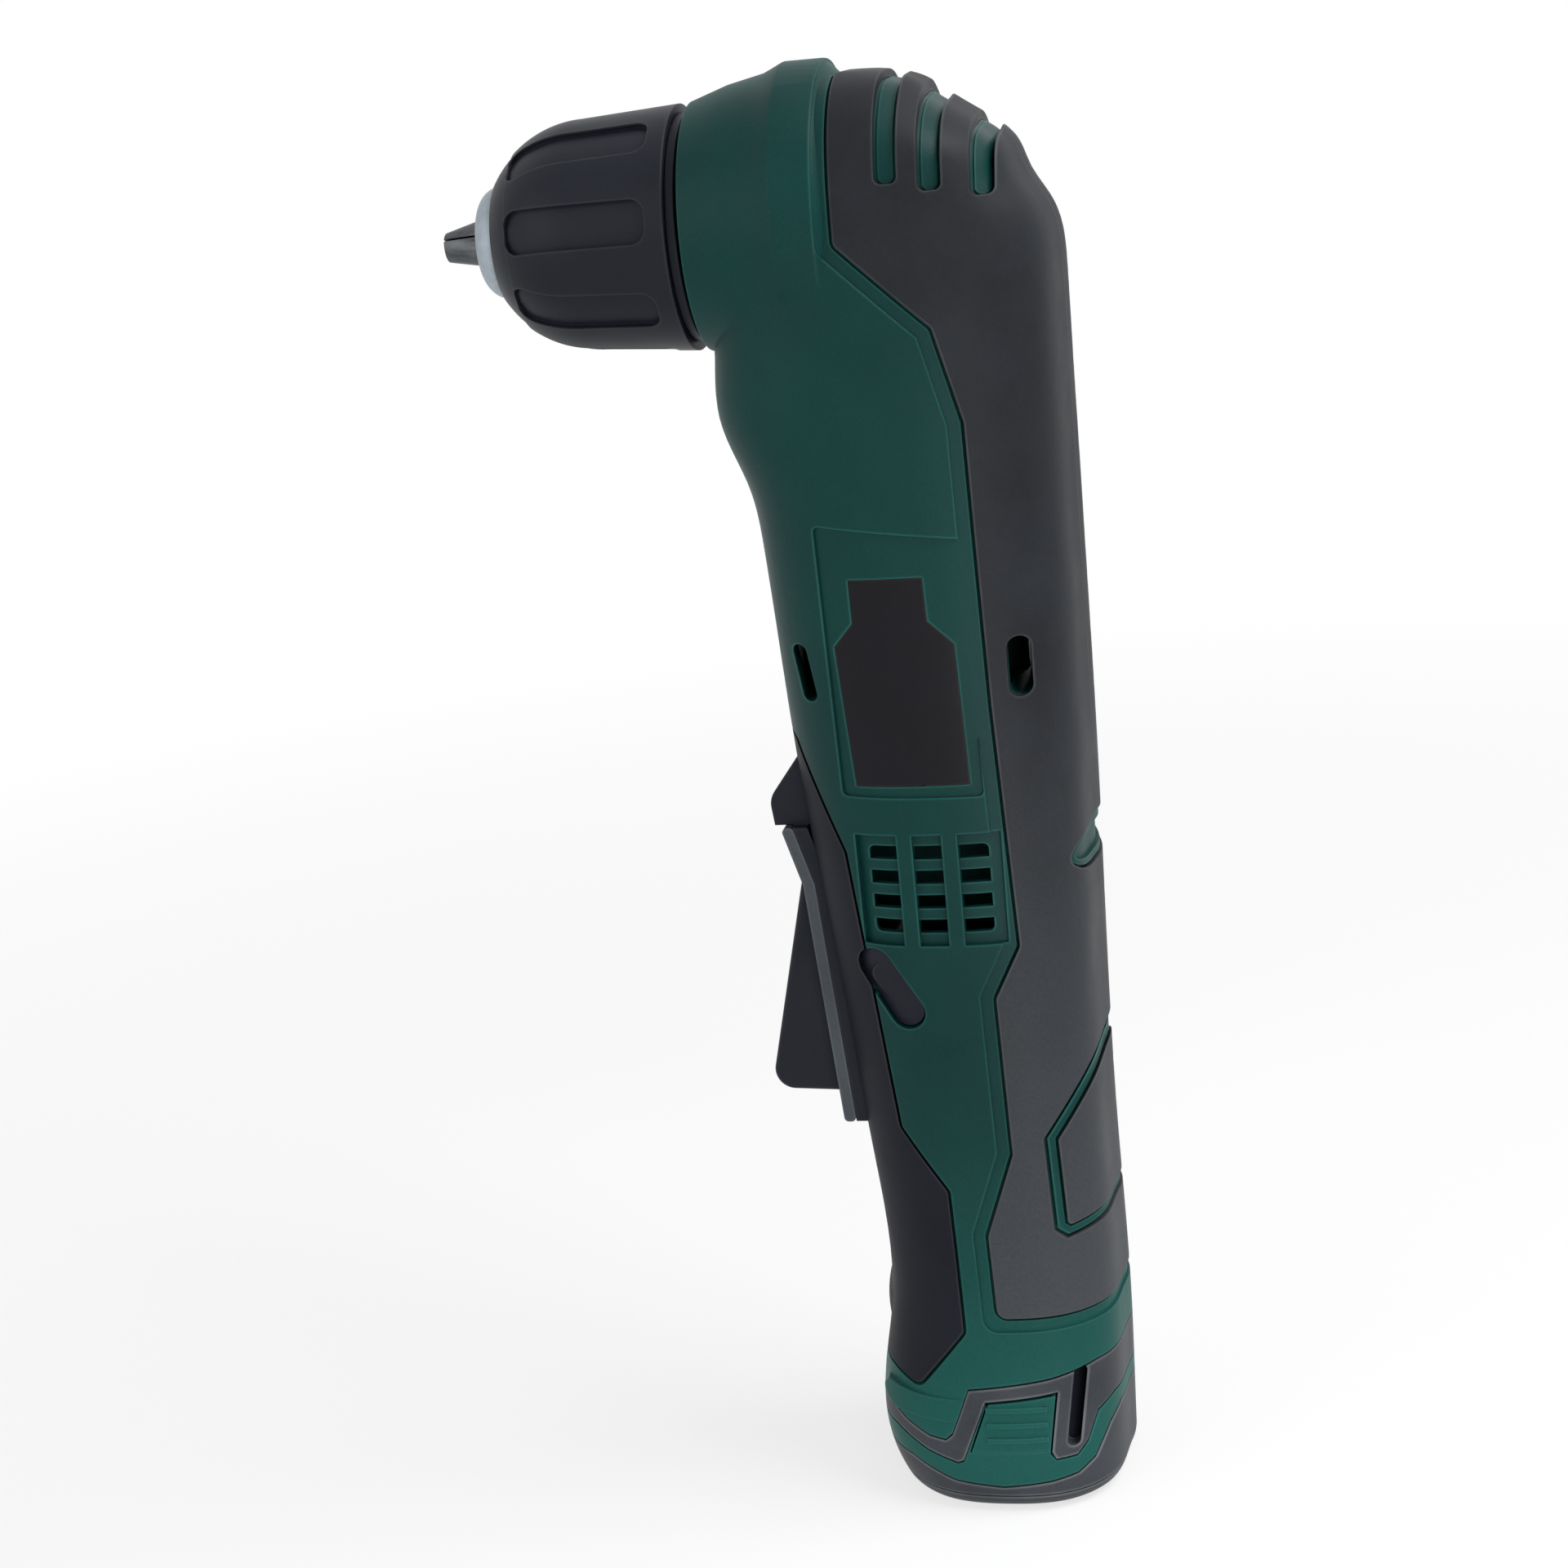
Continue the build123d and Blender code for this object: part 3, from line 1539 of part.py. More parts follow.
def battery_cells():
    cells = [cylinder_z(cell_radius, stalk_floor, stalk_floor + cell_length, x, y) for x, y in cell_places()]
    return Compound(cells)


whole = body(0)
under_rim = body(rim_depth)
under_recess = body(recess_depth)
under_grip = body(grip_skin)
inner = body(wall)

nodes = {}
shell = housing()
covers = {"housing": shell, "rear_grip": rear_grip(), "front_grip": front_grip(), "label": label_plate()}
for name, cover in covers.items():
    nodes["left_" + name] = half(cover, -1)
    nodes["right_" + name] = half(cover, 1)
nodes["housing_screws"] = housing_screws()
nodes["lamp_block"] = lamp_block()
nodes["lamp"] = lamp()
nodes["lamp_lens"] = lamp_lens()
nodes["trigger_bezel"] = trigger_bezel()
nodes["paddle_trigger"] = paddle_trigger()
nodes["trigger_pin"] = trigger_pin(trigger_pin_radius)
nodes["trigger_spring"] = trigger_spring()
nodes["switch_body"] = switch_body()
nodes["switch_plunger"] = switch_plunger()
nodes["direction_slider"] = direction_slider()
nodes["terminal_block"] = terminal_block()
nodes["motor_can"] = motor_can()
nodes["motor_magnets"] = motor_magnets()
nodes["motor_endbell"] = motor_endbell()
nodes["motor_brushes"] = motor_brushes()
nodes["rotor_shaft"] = cylinder_z(shaft_radius, endbell_low + axial_gap, planet_top, motor_axis)
nodes["rotor_core"] = rotor_core()
nodes["commutator"] = commutator()
nodes["motor_fan"] = motor_fan()
nodes["ring_gear"] = ring_gear()
nodes["sun_gear"] = sun_gear()
for number in range(planet_count):
    nodes["planet_gear_" + str(number + 1)] = planet_gear(number)
nodes["planet_carrier"] = planet_carrier()
nodes["bevel_pinion"] = bevel_pinion()
shaft_fit = carrier_shaft_radius + running_gap
nodes["pinion_bearing"] = bearing_z(pinion_bearing_radius, shaft_fit, bearing_low, bearing_top)
nodes["gear_case"] = gear_case()
nodes["gear_cover"] = gear_cover()
nodes["cover_screws"] = cover_screws()
nodes["spindle"] = spindle()
nodes["bevel_gear"] = bevel_gear()
spindle_fit = spindle_radius + running_gap
nodes["front_bearing"] = bearing_x(front_bearing_radius, spindle_fit, front_bearing_front, front_bearing_back)
rear_end = chamber_back + rear_bearing_width
nodes["rear_bearing"] = bearing_x(rear_bearing_radius, spindle_fit, chamber_back, rear_end)
nodes["chuck_body"] = chuck_body()
nodes["chuck_screw"] = chuck_screw()
for number in range(jaw_count):
    nodes["jaw_" + str(number + 1)] = jaw(number)
nodes["chuck_nut"] = chuck_nut()
nodes["chuck_sleeve"] = chuck_sleeve()
nodes["chuck_nose_ring"] = chuck_nose_ring()
nodes["chuck_rear_ring"] = chuck_rear_ring()
nodes["battery_stalk"] = battery_stalk()
nodes["battery_cells"] = battery_cells()
nodes["battery_contacts"] = battery_contacts()
nodes["battery_body"] = battery_body()
nodes["battery_trim"] = battery_trim()
nodes["battery_base"] = battery_base()
nodes["left_latch"] = latch(-1)
nodes["right_latch"] = latch(1)

for name, solid in nodes.items():
    export_step(solid, "parts/" + name + ".step")
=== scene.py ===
import bpy
import bmesh
import json
import math
from mathutils import Matrix, Vector


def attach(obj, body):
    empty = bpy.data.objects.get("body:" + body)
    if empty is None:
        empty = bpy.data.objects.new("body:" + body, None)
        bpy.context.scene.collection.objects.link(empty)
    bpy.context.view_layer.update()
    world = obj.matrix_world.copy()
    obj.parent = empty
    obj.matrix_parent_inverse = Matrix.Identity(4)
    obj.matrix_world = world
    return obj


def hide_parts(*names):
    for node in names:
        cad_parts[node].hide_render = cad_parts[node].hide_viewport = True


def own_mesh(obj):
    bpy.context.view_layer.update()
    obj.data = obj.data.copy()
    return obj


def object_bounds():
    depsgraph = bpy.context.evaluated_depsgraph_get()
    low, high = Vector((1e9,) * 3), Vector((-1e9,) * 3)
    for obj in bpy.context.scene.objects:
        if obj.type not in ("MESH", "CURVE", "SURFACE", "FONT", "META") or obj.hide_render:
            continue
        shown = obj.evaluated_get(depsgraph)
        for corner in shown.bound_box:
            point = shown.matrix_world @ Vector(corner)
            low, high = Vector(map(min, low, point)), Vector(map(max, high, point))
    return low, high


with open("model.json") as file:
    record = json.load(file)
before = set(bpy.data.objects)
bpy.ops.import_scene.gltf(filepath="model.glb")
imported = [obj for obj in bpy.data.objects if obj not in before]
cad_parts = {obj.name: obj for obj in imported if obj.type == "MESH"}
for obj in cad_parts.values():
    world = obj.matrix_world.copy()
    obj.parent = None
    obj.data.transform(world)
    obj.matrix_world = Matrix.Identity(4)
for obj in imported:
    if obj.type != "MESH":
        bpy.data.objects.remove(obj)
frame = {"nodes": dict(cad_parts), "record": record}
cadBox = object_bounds()
nodes = frame["nodes"]
bodyOf = {node: body for body, names in frame["record"]["behaviour"]["bodies"].items() for node in names}
mm = 0.001
print("frame loaded, nodes:", len(nodes))


# sRGB hex to the linear colour that sockets take
def toLinear(hexColour):
    parts = [int(hexColour[i:i + 2], 16) / 255 for i in (1, 3, 5)]
    return tuple(c / 12.92 if c <= 0.04045 else ((c + 0.055) / 1.055) ** 2.4 for c in parts) + (1.0,)


mixShare, mixFirst, mixSecond, mixColour = 0, 6, 7, 2  # a Mix node's sockets for colours, which share their names


# one node, its settings by socket name or number, and the sockets that feed it
def addNode(tree, kind, settings=None, links=None):
    node = tree.nodes.new(kind)
    for key, value in (settings or {}).items():
        if isinstance(key, int) or key in node.inputs:
            node.inputs[key].default_value = value
        else:
            setattr(node, key, value)
    for key, source in (links or {}).items():
        tree.links.new(source, node.inputs[key])
    return node


def newMaterial(name):
    material = bpy.data.materials.new(name)
    material.use_nodes = True
    tree = material.node_tree
    shader = tree.nodes["Principled BSDF"]
    place = addNode(tree, "ShaderNodeTexCoord").outputs["Object"]
    return material, tree, shader, place


# spark-eroded mould texture on a plastic: a fine even grain, faint cloudiness from handling, convex edges painted
# paler as wear and as a painted highlight, and where asked the lower part painted paler as painted light from below
def mouldedFinish(name, look):
    material, tree, shader, place = newMaterial(name)
    grain = addNode(tree, "ShaderNodeTexNoise", {"Scale": 1 / (look["grain"] * mm), "Detail": 3.0, "Roughness": 0.6},
                    {"Vector": place})
    cloud = addNode(tree, "ShaderNodeTexNoise", {"Scale": 1 / (look["cloud"] * mm), "Detail": 4.0, "Roughness": 0.55},
                    {"Vector": place})
    tint = addNode(tree, "ShaderNodeValToRGB", {}, {"Fac": cloud.outputs["Fac"]})
    tint.color_ramp.elements[0].position, tint.color_ramp.elements[1].position = 0.32, 0.7
    tint.color_ramp.elements[0].color = toLinear(look["deep"])
    tint.color_ramp.elements[1].color = toLinear(look["lit"])
    base = tint.outputs["Color"]
    if "pale" in look:  # paler towards the bottom: painted light, as if lit from below
        height = addNode(tree, "ShaderNodeSeparateXYZ", {}, {0: place})
        paintedLightAndWear = addNode(tree, "ShaderNodeMapRange", {"From Min": look["paleFrom"] * mm,
                                                    "From Max": look["paleTo"] * mm}, {"Value": height.outputs["Z"]})
        base = addNode(tree, "ShaderNodeMix", {"data_type": "RGBA", mixSecond: toLinear(look["pale"])},
                       {mixShare: paintedLightAndWear.outputs["Result"], mixFirst: base}).outputs[mixColour]
    speck = addNode(tree, "ShaderNodeMapRange", {"From Min": 0.3, "From Max": 0.75, "To Min": 0.88, "To Max": 1.1},
                    {"Value": grain.outputs["Fac"]})
    colour = addNode(tree, "ShaderNodeMix", {"data_type": "RGBA", "blend_type": "MULTIPLY", mixShare: 1.0},
                     {mixFirst: base, mixSecond: speck.outputs["Result"]})
    # painted highlight and wear: convex edges, found by ambient occlusion inside the solid, are mixed towards the
    # paler edge colour
    corner = addNode(tree, "ShaderNodeAmbientOcclusion", {"inside": True, "only_local": True, "samples": 6,
                                                          "Distance": look["edge"] * mm})
    edgeHighlightAndWear = addNode(tree, "ShaderNodeMapRange", {"From Min": 0.96, "From Max": 0.62, "To Max": look["edgeHighlightAndWear"]},
                  {"Value": corner.outputs["AO"]})
    patchy = addNode(tree, "ShaderNodeMapRange", {"From Min": 0.35, "From Max": 0.65, "To Min": 0.45, "To Max": 1.0},
                     {"Value": cloud.outputs["Fac"]})
    edgeHighlightAndWear = addNode(tree, "ShaderNodeMath", {"operation": "MULTIPLY"},
                  {0: edgeHighlightAndWear.outputs["Result"], 1: patchy.outputs["Result"]})
    colour = addNode(tree, "ShaderNodeMix", {"data_type": "RGBA", mixSecond: toLinear(look["paintedLightAndWear"])},
                     {mixShare: edgeHighlightAndWear.outputs[0], mixFirst: colour.outputs[mixColour]})
    gloss = addNode(tree, "ShaderNodeMapRange", {"From Min": 0.3, "From Max": 0.7, "To Min": look["rough"] - 0.05,
                                                 "To Max": look["rough"] + 0.07}, {"Value": cloud.outputs["Fac"]})
    soft = addNode(tree, "ShaderNodeBevel", {"samples": 4, "Radius": look["round"] * mm})
    bump = addNode(tree, "ShaderNodeBump", {"Strength": look["bump"], "Distance": look["depth"] * mm},
                   {"Height": grain.outputs["Fac"], "Normal": soft.outputs["Normal"]})
    tree.links.new(colour.outputs[mixColour], shader.inputs["Base Color"])
    tree.links.new(gloss.outputs["Result"], shader.inputs["Roughness"])
    tree.links.new(bump.outputs["Normal"], shader.inputs["Normal"])
    shader.inputs["IOR"].default_value = look["ior"]
    shader.inputs["Specular IOR Level"].default_value = look["sheen"]
    return material


# turned or pressed metal: fine lines round the axis it was worked about, in brighter and duller bands
def workedMetal(name, look):
    material, tree, shader, place = newMaterial(name)
    stretch = addNode(tree, "ShaderNodeMapping", {"Scale": look["along"]}, {"Vector": place})
    lines = addNode(tree, "ShaderNodeTexNoise", {"Scale": 1 / (look["line"] * mm), "Detail": 4.0, "Roughness": 0.6},
                    {"Vector": stretch.outputs["Vector"]})
    tint = addNode(tree, "ShaderNodeValToRGB", {}, {"Fac": lines.outputs["Fac"]})
    tint.color_ramp.elements[0].position, tint.color_ramp.elements[1].position = 0.3, 0.72
    tint.color_ramp.elements[0].color = toLinear(look["deep"])
    tint.color_ramp.elements[1].color = toLinear(look["lit"])
    gloss = addNode(tree, "ShaderNodeMapRange", {"From Min": 0.3, "From Max": 0.7, "To Min": look["rough"] - 0.06,
                                                 "To Max": look["rough"] + 0.08}, {"Value": lines.outputs["Fac"]})
    bump = addNode(tree, "ShaderNodeBump", {"Strength": look["bump"], "Distance": look["depth"] * mm},
                   {"Height": lines.outputs["Fac"]})
    tree.links.new(tint.outputs["Color"], shader.inputs["Base Color"])
    tree.links.new(gloss.outputs["Result"], shader.inputs["Roughness"])
    tree.links.new(bump.outputs["Normal"], shader.inputs["Normal"])
    shader.inputs["Metallic"].default_value = look["metallic"]
    return material


# the grain of all these moulds is about 0.1 mm, too fine to show here, so it is drawn four to six times as coarse
# its lower part painted paler as painted light from below
greenNylon = mouldedFinish("GreenGlassFilledNylon", {  # satin sea-green shell, glossier where hands polish it
    "deep": "#072e2c", "lit": "#0b3835", "paintedLightAndWear": "#2c6660", "grain": 0.45, "cloud": 38.0, "rough": 0.44, "bump": 0.10,
    "depth": 0.06, "edge": 0.5, "edgeHighlightAndWear": 0.55, "round": 0.25, "ior": 1.50, "sheen": 0.11,
    "pale": "#17504a", "paleFrom": 80.0, "paleTo": 15.0})
# its lower part painted paler as painted light from below
greyElastomer = mouldedFinish("GreyThermoplasticElastomer", {  # soft matt rubber on the back, cloudy with handling
    "deep": "#191b1f", "lit": "#22252a", "paintedLightAndWear": "#505052", "grain": 0.55, "cloud": 16.0, "rough": 0.52, "bump": 0.16,
    "depth": 0.08, "edge": 0.45, "edgeHighlightAndWear": 0.6, "round": 0.35, "ior": 1.48, "sheen": 0.14,
    "pale": "#3e4145", "paleFrom": 170.0, "paleTo": 30.0})
blackElastomer = mouldedFinish("BlackThermoplasticElastomer", {  # darker, bluish rubber under the fingers
    "deep": "#12141b", "lit": "#181a22", "paintedLightAndWear": "#433f42", "grain": 0.55, "cloud": 20.0, "rough": 0.55, "bump": 0.14,
    "depth": 0.08, "edge": 0.4, "edgeHighlightAndWear": 0.5, "round": 0.35, "ior": 1.48, "sheen": 0.12})
blackAbs = mouldedFinish("BlackAbs", {  # near-black moulding with a low shine
    "deep": "#14171e", "lit": "#1a1d25", "paintedLightAndWear": "#3d4046", "grain": 0.40, "cloud": 24.0, "rough": 0.42, "bump": 0.10,
    "depth": 0.05, "edge": 0.5, "edgeHighlightAndWear": 0.4, "round": 0.4, "ior": 1.50, "sheen": 0.14})
greyAbs = mouldedFinish("GreyAbs", {  # mid-grey frame round the trigger, dull
    "deep": "#3a3f44", "lit": "#464b50", "paintedLightAndWear": "#6b7074", "grain": 0.40, "cloud": 22.0, "rough": 0.50, "bump": 0.10,
    "depth": 0.05, "edge": 0.5, "edgeHighlightAndWear": 0.4, "round": 0.3, "ior": 1.50, "sheen": 0.16})
darkNylon = mouldedFinish("DarkGreyNylon", {  # battery foot and its band, grained, and paler along the edges as wear and as a painted highlight
    "deep": "#2c2f34", "lit": "#3c3f44", "paintedLightAndWear": "#7c7e81", "grain": 0.50, "cloud": 18.0, "rough": 0.48, "bump": 0.14,
    "depth": 0.06, "edge": 0.6, "edgeHighlightAndWear": 0.6, "round": 0.35, "ior": 1.50, "sheen": 0.18})
labelFilm = mouldedFinish("ScreenPrintedPolyesterFilm", {  # bare black label film, smooth, its cut edge brownish
    "deep": "#141317", "lit": "#17161b", "paintedLightAndWear": "#4a2b2a", "grain": 0.60, "cloud": 30.0, "rough": 0.34, "bump": 0.03,
    "depth": 0.02, "edge": 0.35, "edgeHighlightAndWear": 0.7, "round": 0.1, "ior": 1.57, "sheen": 0.09})
boardLaminate = mouldedFinish("GlassEpoxyBoard", {  # contact board, dull green with a faint weave-sized grain
    "deep": "#1c3b28", "lit": "#27492f", "paintedLightAndWear": "#8c8a5c", "grain": 0.70, "cloud": 6.0, "rough": 0.45, "bump": 0.12,
    "depth": 0.04, "edge": 0.3, "edgeHighlightAndWear": 0.5, "round": 0.1, "ior": 1.55, "sheen": 0.25})
print("mouldings made")


# clear or milky moulding that light passes through, with a trace of dust that roughens it
def clearFinish(name, look):
    material, tree, shader, place = newMaterial(name)
    dust = addNode(tree, "ShaderNodeTexNoise", {"Scale": 1 / (look["dust"] * mm), "Detail": 5.0, "Roughness": 0.65},
                   {"Vector": place})
    gloss = addNode(tree, "ShaderNodeMapRange", {"From Min": 0.35, "From Max": 0.75, "To Min": look["rough"],
                                                 "To Max": look["rough"] + 0.16}, {"Value": dust.outputs["Fac"]})
    tree.links.new(gloss.outputs["Result"], shader.inputs["Roughness"])
    shader.inputs["Base Color"].default_value = toLinear(look["colour"])
    shader.inputs["Transmission Weight"].default_value = look["clear"]
    shader.inputs["IOR"].default_value = look["ior"]
    return material


lensClear = clearFinish("ClearPolycarbonate", {  # lamp window, clear with a soft shine
    "colour": "#c4c9cc", "dust": 1.2, "rough": 0.08, "clear": 0.9, "ior": 1.58})
lampResin = clearFinish("YellowishEpoxyResin", {  # light-emitting chip in its milky yellow cap
    "colour": "#d9cf9a", "dust": 0.8, "rough": 0.25, "clear": 0.35, "ior": 1.52})

bearingSteel = workedMetal("BearingSteel", {  # ground and bright, lines round the spindle
    "deep": "#8b8e92", "lit": "#b4b7ba", "line": 0.8, "along": (4.0, 1.0, 1.0), "rough": 0.30, "bump": 0.08,
    "depth": 0.03, "metallic": 1.0})
jawSteel = workedMetal("HardenedJawSteel", {  # oiled dark steel, faint lengthways grinding
    "deep": "#424447", "lit": "#606265", "line": 1.2, "along": (0.25, 1.0, 1.0), "rough": 0.42, "bump": 0.12,
    "depth": 0.04, "metallic": 1.0})
dullZinc = workedMetal("BeadBlastedZinc", {  # pale bluish grey nose ring, almost chalky
    "deep": "#8f99a1", "lit": "#a3adb5", "line": 1.5, "along": (1.0, 1.0, 1.0), "rough": 0.52, "bump": 0.10,
    "depth": 0.03, "metallic": 0.35})
castAluminium = workedMetal("DieCastAluminium", {  # flat grey casting skin
    "deep": "#85888b", "lit": "#a3a6a8", "line": 2.5, "along": (1.0, 1.0, 1.0), "rough": 0.55, "bump": 0.20,
    "depth": 0.06, "metallic": 1.0})
darkSteel = workedMetal("PhosphatedSteel", {  # motor can, near-black dull coating seen through the vents
    "deep": "#101113", "lit": "#18191b", "line": 1.5, "along": (1.0, 1.0, 1.0), "rough": 0.70, "bump": 0.10,
    "depth": 0.03, "metallic": 0.3})
darkFerrite = workedMetal("SinteredFerrite", {  # charcoal ceramic magnets
    "deep": "#2c2d2f", "lit": "#3a3b3d", "line": 1.0, "along": (1.0, 1.0, 1.0), "rough": 0.60, "bump": 0.15,
    "depth": 0.04, "metallic": 0.2})
brushCopper = workedMetal("TinnedCopper", {  # warm contact metal
    "deep": "#a4683f", "lit": "#c98a5a", "line": 0.9, "along": (1.0, 1.0, 0.3), "rough": 0.34, "bump": 0.08,
    "depth": 0.03, "metallic": 1.0})
cellSleeve = workedMetal("NickelledCellCan", {  # bright drawn can
    "deep": "#9a9c9e", "lit": "#babcbe", "line": 1.4, "along": (1.0, 1.0, 0.2), "rough": 0.28, "bump": 0.06,
    "depth": 0.03, "metallic": 1.0})
print("metals made")

# every shown solid's soft edge and the lengths merged in its mesh, in mm, and the angle that counts as an edge
skinLook = {"edge": 0.25, "sharp": 32.0, "segments": 2, "weld": 0.002, "sliver": 0.001}


# a merged, softly edged copy of a solid from the frame, which then stands for it
def dressNode(nodeName, material, edge=skinLook["edge"], sharp=skinLook["sharp"]):
    mesh = nodes[nodeName].data.copy()
    mesh.name = nodeName + "Skin"
    if "custom_normal" in mesh.attributes:
        mesh.attributes.remove(mesh.attributes["custom_normal"])
    bm = bmesh.new()
    bm.from_mesh(mesh)
    bmesh.ops.remove_doubles(bm, verts=bm.verts, dist=skinLook["weld"] * mm)
    bmesh.ops.dissolve_degenerate(bm, dist=skinLook["sliver"] * mm, edges=bm.edges)
    for face in bm.faces:
        face.smooth = True
        face.material_index = 0
    for line in bm.edges:
        line.smooth = len(line.link_faces) == 2 and line.calc_face_angle(0.0) < math.radians(sharp)
    bm.to_mesh(mesh)
    bm.free()
    mesh.materials.clear()
    mesh.materials.append(material)
    piece = bpy.data.objects.new(nodeName + "Skin", mesh)
    bpy.context.scene.collection.objects.link(piece)
    if edge > 0:
        soft = piece.modifiers.new("edges", "BEVEL")
        soft.width = edge * mm
        soft.segments = skinLook["segments"]
        soft.limit_method = "ANGLE"
        soft.angle_limit = math.radians(sharp)
        soft.harden_normals = True
        soft.use_clamp_overlap = True
    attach(piece, bodyOf[nodeName])
    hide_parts(nodeName)
    return piece


# a solid inside keeps its mesh and only takes its finish
def paintNode(nodeName, material):
    mesh = nodes[nodeName].data
    mesh.materials.clear()
    mesh.materials.append(material)


# a piece made here, its place in its mesh
def addPiece(name, bm, material):
    mesh = bpy.data.meshes.new(name)
    bm.to_mesh(mesh)
    bm.free()
    mesh.materials.append(material)
    piece = bpy.data.objects.new(name, mesh)
    bpy.context.scene.collection.objects.link(piece)
    return piece


finishOf = {  # by material slot
    "green_plastic": greenNylon, "soft_grip": greyElastomer, "black_grip": blackElastomer, "black_plastic": blackAbs,
    "grey_plastic": greyAbs, "dark_trim": darkNylon, "label_film": labelFilm, "steel": bearingSteel,
    "nose_metal": dullZinc, "die_casting": castAluminium, "ferrite": darkFerrite, "copper_alloy": brushCopper,
    "lamp_resin": lampResin, "lens_glass": lensClear, "cell_can": cellSleeve, "board": boardLaminate}
slotOf = {row["node"]: row["material_slot"] for row in frame["record"]["subparts"]}
shownNodes = [  # solids that show from outside
    "left_housing", "right_housing", "left_rear_grip", "right_rear_grip", "left_front_grip", "right_front_grip",
    "left_label", "right_label", "lamp_block", "lamp", "lamp_lens", "trigger_bezel", "paddle_trigger",
    "direction_slider", "chuck_sleeve", "chuck_nose_ring", "chuck_rear_ring", "jaw_1", "jaw_2", "jaw_3",
    "battery_body", "battery_trim", "battery_base", "left_latch", "right_latch", "cover_screws"]
# the tub inside the battery, seen only through the slit in the trim: its faces in these bounds in mm are painted
# black as painted shade in the slit
tubShadeLook = {"near": 11.0, "far": 19.0, "low": 12.2, "bend": 14.5, "rise": 2.6, "side": 0.3}
ownFinish = {"jaw_1": jawSteel, "jaw_2": jawSteel, "jaw_3": jawSteel, "motor_can": darkSteel}
for name in nodes:
    finish = ownFinish.get(name, finishOf[slotOf[name]])
    if name in shownNodes:
        piece = dressNode(name, finish)
        # painted shade: the tub's faces behind the slit take the black finish so the slit reads dark
        if name == "battery_body":
            piece.data.materials.append(blackAbs)
            for face in piece.data.polygons:
                spot = face.center / mm
                lowest = tubShadeLook["low"] + tubShadeLook["rise"] * max(0, spot.x - tubShadeLook["bend"])
                sideways = abs(face.normal.y) > tubShadeLook["side"]
                if tubShadeLook["near"] < spot.x < tubShadeLook["far"] and spot.z > lowest and sideways:
                    face.material_index = 1
    else:
        paintNode(name, finish)
print("solids dressed")

# the coil spring behind the paddle, which shortens as the trigger is pulled; here it is only dressed and given a mesh
# of its own, and its squeeze is listed but not used
springLook = {"squeeze": 5.7, "sharp": 65.0}
spring = dressNode("trigger_spring", bearingSteel, 0.0, springLook["sharp"])
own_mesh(spring)
print("spring made")

# case screws with a six-lobed driver recess, laid out as rings along each screw and bridged
screwLook = {"places": [(18.2, 226.0), (-30.5, 206.0), (17.6, 153.0), (-27.2, 158.0), (17.0, 122.0), (16.0, 79.0)],
             "low": -7.0, "seat": 7.0, "top": 8.8, "shank": 1.3, "head": 2.8, "edge": 0.35, "midway": 0.3,
             "recess": 1.75, "lobes": 6, "lobe": 0.24, "depth": 1.5, "taper": 0.9, "steps": 48, "sharp": 40.0}


def screwRing(bm, spot, radius, height, lobe=0.0, filled=False):
    turn = Matrix.Translation(Vector((spot[0], height, spot[1])) * mm) @ Matrix.Rotation(math.radians(-90), 4, "X")
    ring = bmesh.ops.create_circle(bm, cap_ends=filled, segments=screwLook["steps"], radius=radius * mm,
                                   matrix=turn)["verts"]
    middle = turn.translation
    for vert in ring:
        arm = vert.co - middle
        wave = math.cos(screwLook["lobes"] * math.atan2(arm.z, arm.x))
        vert.co = middle + arm * (1 - lobe * (1 - wave) / 2)
    return [line for line in bm.edges if line.verts[0] in ring and line.verts[1] in ring]


bm = bmesh.new()
head, top, edge, recess = (screwLook[key] for key in ("head", "top", "edge", "recess"))
midway = edge * screwLook["midway"]  # how far in and down the rounding has come half-way round
for spot in screwLook["places"]:
    rows = [screwRing(bm, spot, screwLook["shank"], screwLook["low"], 0.0, True),
            screwRing(bm, spot, screwLook["shank"], screwLook["seat"]),
            screwRing(bm, spot, head, screwLook["seat"]),
            screwRing(bm, spot, head, top - edge),
            screwRing(bm, spot, head - midway, top - midway),
            screwRing(bm, spot, head - edge, top),
            screwRing(bm, spot, recess, top, screwLook["lobe"]),
            screwRing(bm, spot, recess * screwLook["taper"], top - screwLook["depth"], screwLook["lobe"], True)]
    for below, above in zip(rows, rows[1:]):
        bmesh.ops.bridge_loops(bm, edges=below + above)
bmesh.ops.recalc_face_normals(bm, faces=bm.faces)
for face in bm.faces:
    face.smooth = True
for line in bm.edges:
    line.smooth = line.calc_face_angle(0.0) < math.radians(screwLook["sharp"])
caseScrews = addPiece("caseScrews", bm, bearingSteel)
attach(caseScrews, bodyOf["housing_screws"])
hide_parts("housing_screws")
print("screws made, faces:", len(caseScrews.data.polygons))

# foam strips on the middle plane before and behind the motor, so that no daylight shows through the side vents
baffleLook = {"strips": [(-30.2, -23.9, 161.8, 180.0), (12.9, 20.2, 160.0, 181.0)], "thickness": 1.2}
bm = bmesh.new()
for near, far, low, high in baffleLook["strips"]:
    middle = Vector(((near + far) / 2, 0, (low + high) / 2)) * mm
    size = Matrix.Diagonal(((far - near) * mm, baffleLook["thickness"] * mm, (high - low) * mm, 1))
    bmesh.ops.create_cube(bm, size=1.0, matrix=Matrix.Translation(middle) @ size)
ventBaffles = addPiece("ventBaffles", bm, blackElastomer)
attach(ventBaffles, bodyOf["left_housing"])
print("baffles made")


# one for rays that show the stage white, to the eye or in a shine, and nought for the light it gives
def seenShare(tree):
    ray = addNode(tree, "ShaderNodeLightPath")
    seen = addNode(tree, "ShaderNodeMath", {"operation": "MAXIMUM"},
                   {0: ray.outputs["Is Camera Ray"], 1: ray.outputs["Is Glossy Ray"]})
    seen = addNode(tree, "ShaderNodeMath", {"operation": "MAXIMUM"},
                   {0: seen.outputs[0], 1: ray.outputs["Is Transmission Ray"]})
    return seen.outputs[0]


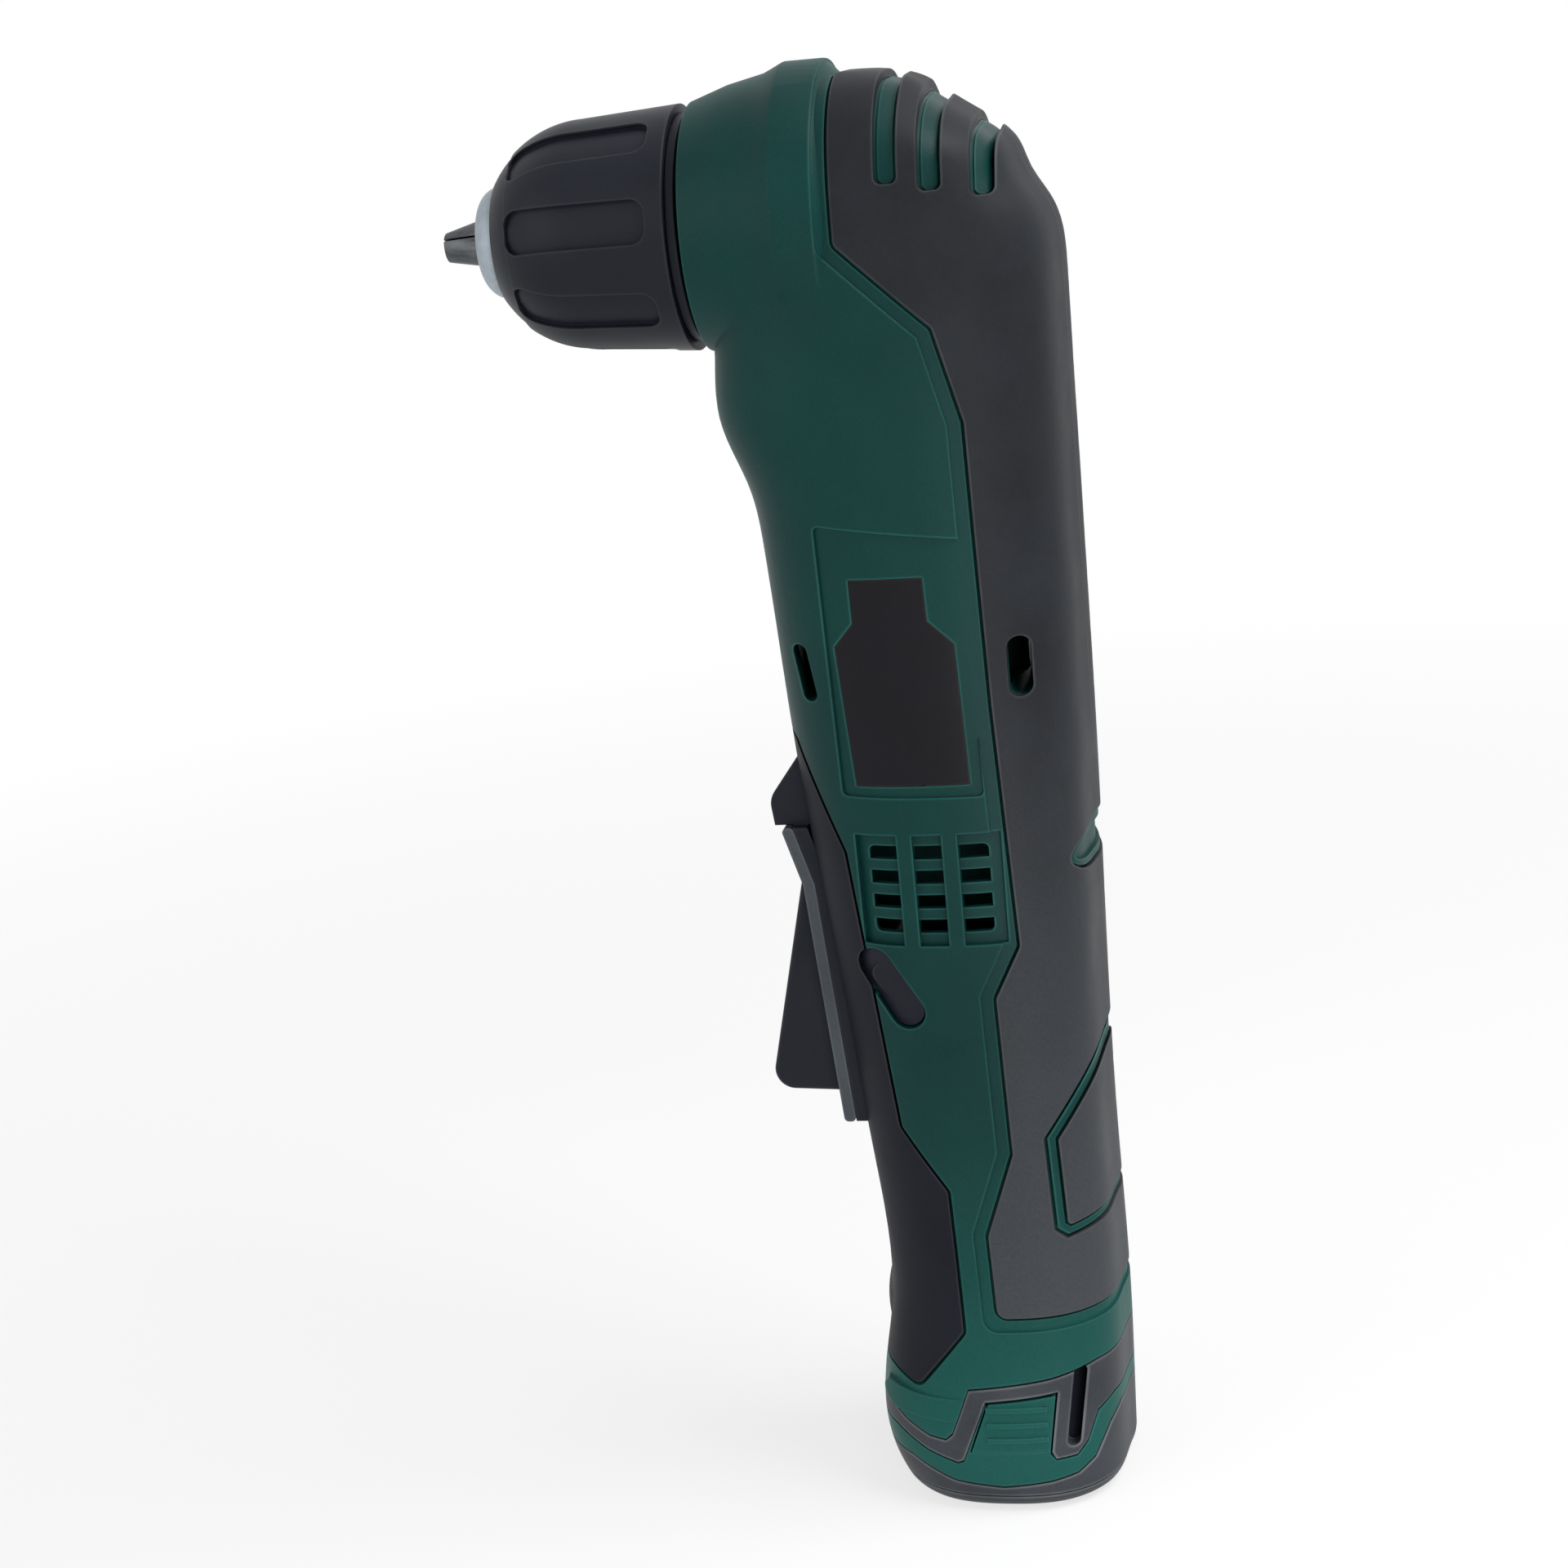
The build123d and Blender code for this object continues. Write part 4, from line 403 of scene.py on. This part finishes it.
# pale floor that keeps a soft shadow near the part and fades to white, in metres
floorLook = {"size": 14.0, "colour": "#f4f4f4", "white": 0.70, "near": 0.25, "far": 0.75}
paleFloor = bpy.data.materials.new("PalePaperFloor")
paleFloor.use_nodes = True
tree = paleFloor.node_tree
tree.nodes.clear()
place = addNode(tree, "ShaderNodeTexCoord").outputs["Object"]
reach = addNode(tree, "ShaderNodeVectorMath", {"operation": "LENGTH"}, {0: place})
fade = addNode(tree, "ShaderNodeMapRange", {"From Min": floorLook["near"], "From Max": floorLook["far"],
                                            "To Min": floorLook["white"]}, {"Value": reach.outputs["Value"]})
share = addNode(tree, "ShaderNodeMath", {"operation": "MULTIPLY"}, {0: seenShare(tree), 1: fade.outputs["Result"]})
paper = addNode(tree, "ShaderNodeBsdfDiffuse", {"Color": toLinear(floorLook["colour"])})
white = addNode(tree, "ShaderNodeEmission", {"Color": (1, 1, 1, 1), "Strength": 1.0})
both = addNode(tree, "ShaderNodeMixShader", {}, {0: share.outputs[0], 1: paper.outputs[0], 2: white.outputs[0]})
addNode(tree, "ShaderNodeOutputMaterial", {}, {"Surface": both.outputs[0]})
bm = bmesh.new()
bmesh.ops.create_grid(bm, x_segments=1, y_segments=1, size=floorLook["size"] / 2)
floor = addPiece("paleFloor", bm, paleFloor)
floor.location.z = cadBox[0].z

# white world, dimmer as a light than as it is seen
skyLook = {"light": 0.42, "seen": 1.0}
world = bpy.data.worlds.new("WhiteStudio")
bpy.context.scene.world = world
world.use_nodes = True
tree = world.node_tree
tree.nodes.clear()
level = addNode(tree, "ShaderNodeMapRange", {"To Min": skyLook["light"], "To Max": skyLook["seen"]},
                {"Value": seenShare(tree)})
sky = addNode(tree, "ShaderNodeBackground", {"Color": (1, 1, 1, 1)}, {"Strength": level.outputs["Result"]})
addNode(tree, "ShaderNodeOutputWorld", {}, {"Surface": sky.outputs[0]})

# soft square lamps, in metres and watts
lampLook = {
    "key": {"place": (0.40, -0.06, 0.74), "target": (0.0, 0.0, 0.20), "size": 0.45, "power": 5.0},
    "low": {"place": (0.20, -0.42, 0.04), "target": (0.01, 0.0, 0.03), "size": 0.22, "power": 1.15},
    "fill": {"place": (-0.60, -0.55, 0.45), "target": (-0.02, 0.0, 0.16), "size": 0.60, "power": 1.8}}
for name, look in lampLook.items():
    lamp = bpy.data.lights.new(name + "Softbox", "AREA")
    lamp.shape = "SQUARE"
    lamp.size = look["size"]
    lamp.energy = look["power"]
    holder = bpy.data.objects.new(name + "Softbox", lamp)
    bpy.context.scene.collection.objects.link(holder)
    holder.location = look["place"]
    aim = Vector(look["target"]) - Vector(look["place"])
    holder.rotation_euler = aim.to_track_quat("-Z", "Y").to_euler()
print("stage lit")

# camera at the photograph's viewing angle: its place and lens in mm, its turns in degrees
cameraLook = {"place": (67.53, -489.25, 285.29), "azimuth": 12.0, "elevation": 15.812, "roll": 5.453, "lens": 61.875,
              "sensor": 36.0, "near": 10.0}
turn, tilt, roll = (math.radians(cameraLook[key]) for key in ("azimuth", "elevation", "roll"))
back = Vector((math.sin(turn) * math.cos(tilt), -math.cos(turn) * math.cos(tilt), math.sin(tilt)))
right = Vector((math.cos(turn), math.sin(turn), 0))
up = back.cross(right)
rolledRight = right * math.cos(roll) - up * math.sin(roll)
rolledUp = up * math.cos(roll) + right * math.sin(roll)
cameraData = bpy.data.cameras.new("photoCamera")
cameraData.lens = cameraLook["lens"]
cameraData.sensor_width = cameraLook["sensor"]
cameraData.clip_start = cameraLook["near"] * mm
camera = bpy.data.objects.new("photoCamera", cameraData)
bpy.context.scene.collection.objects.link(camera)
camera.matrix_world = Matrix.Translation(Vector(cameraLook["place"]) * mm) @ Matrix(
    (rolledRight, rolledUp, back)).transposed().to_4x4()
bpy.context.scene.camera = camera
bpy.context.scene.view_settings.view_transform = "Standard"
print("camera set")
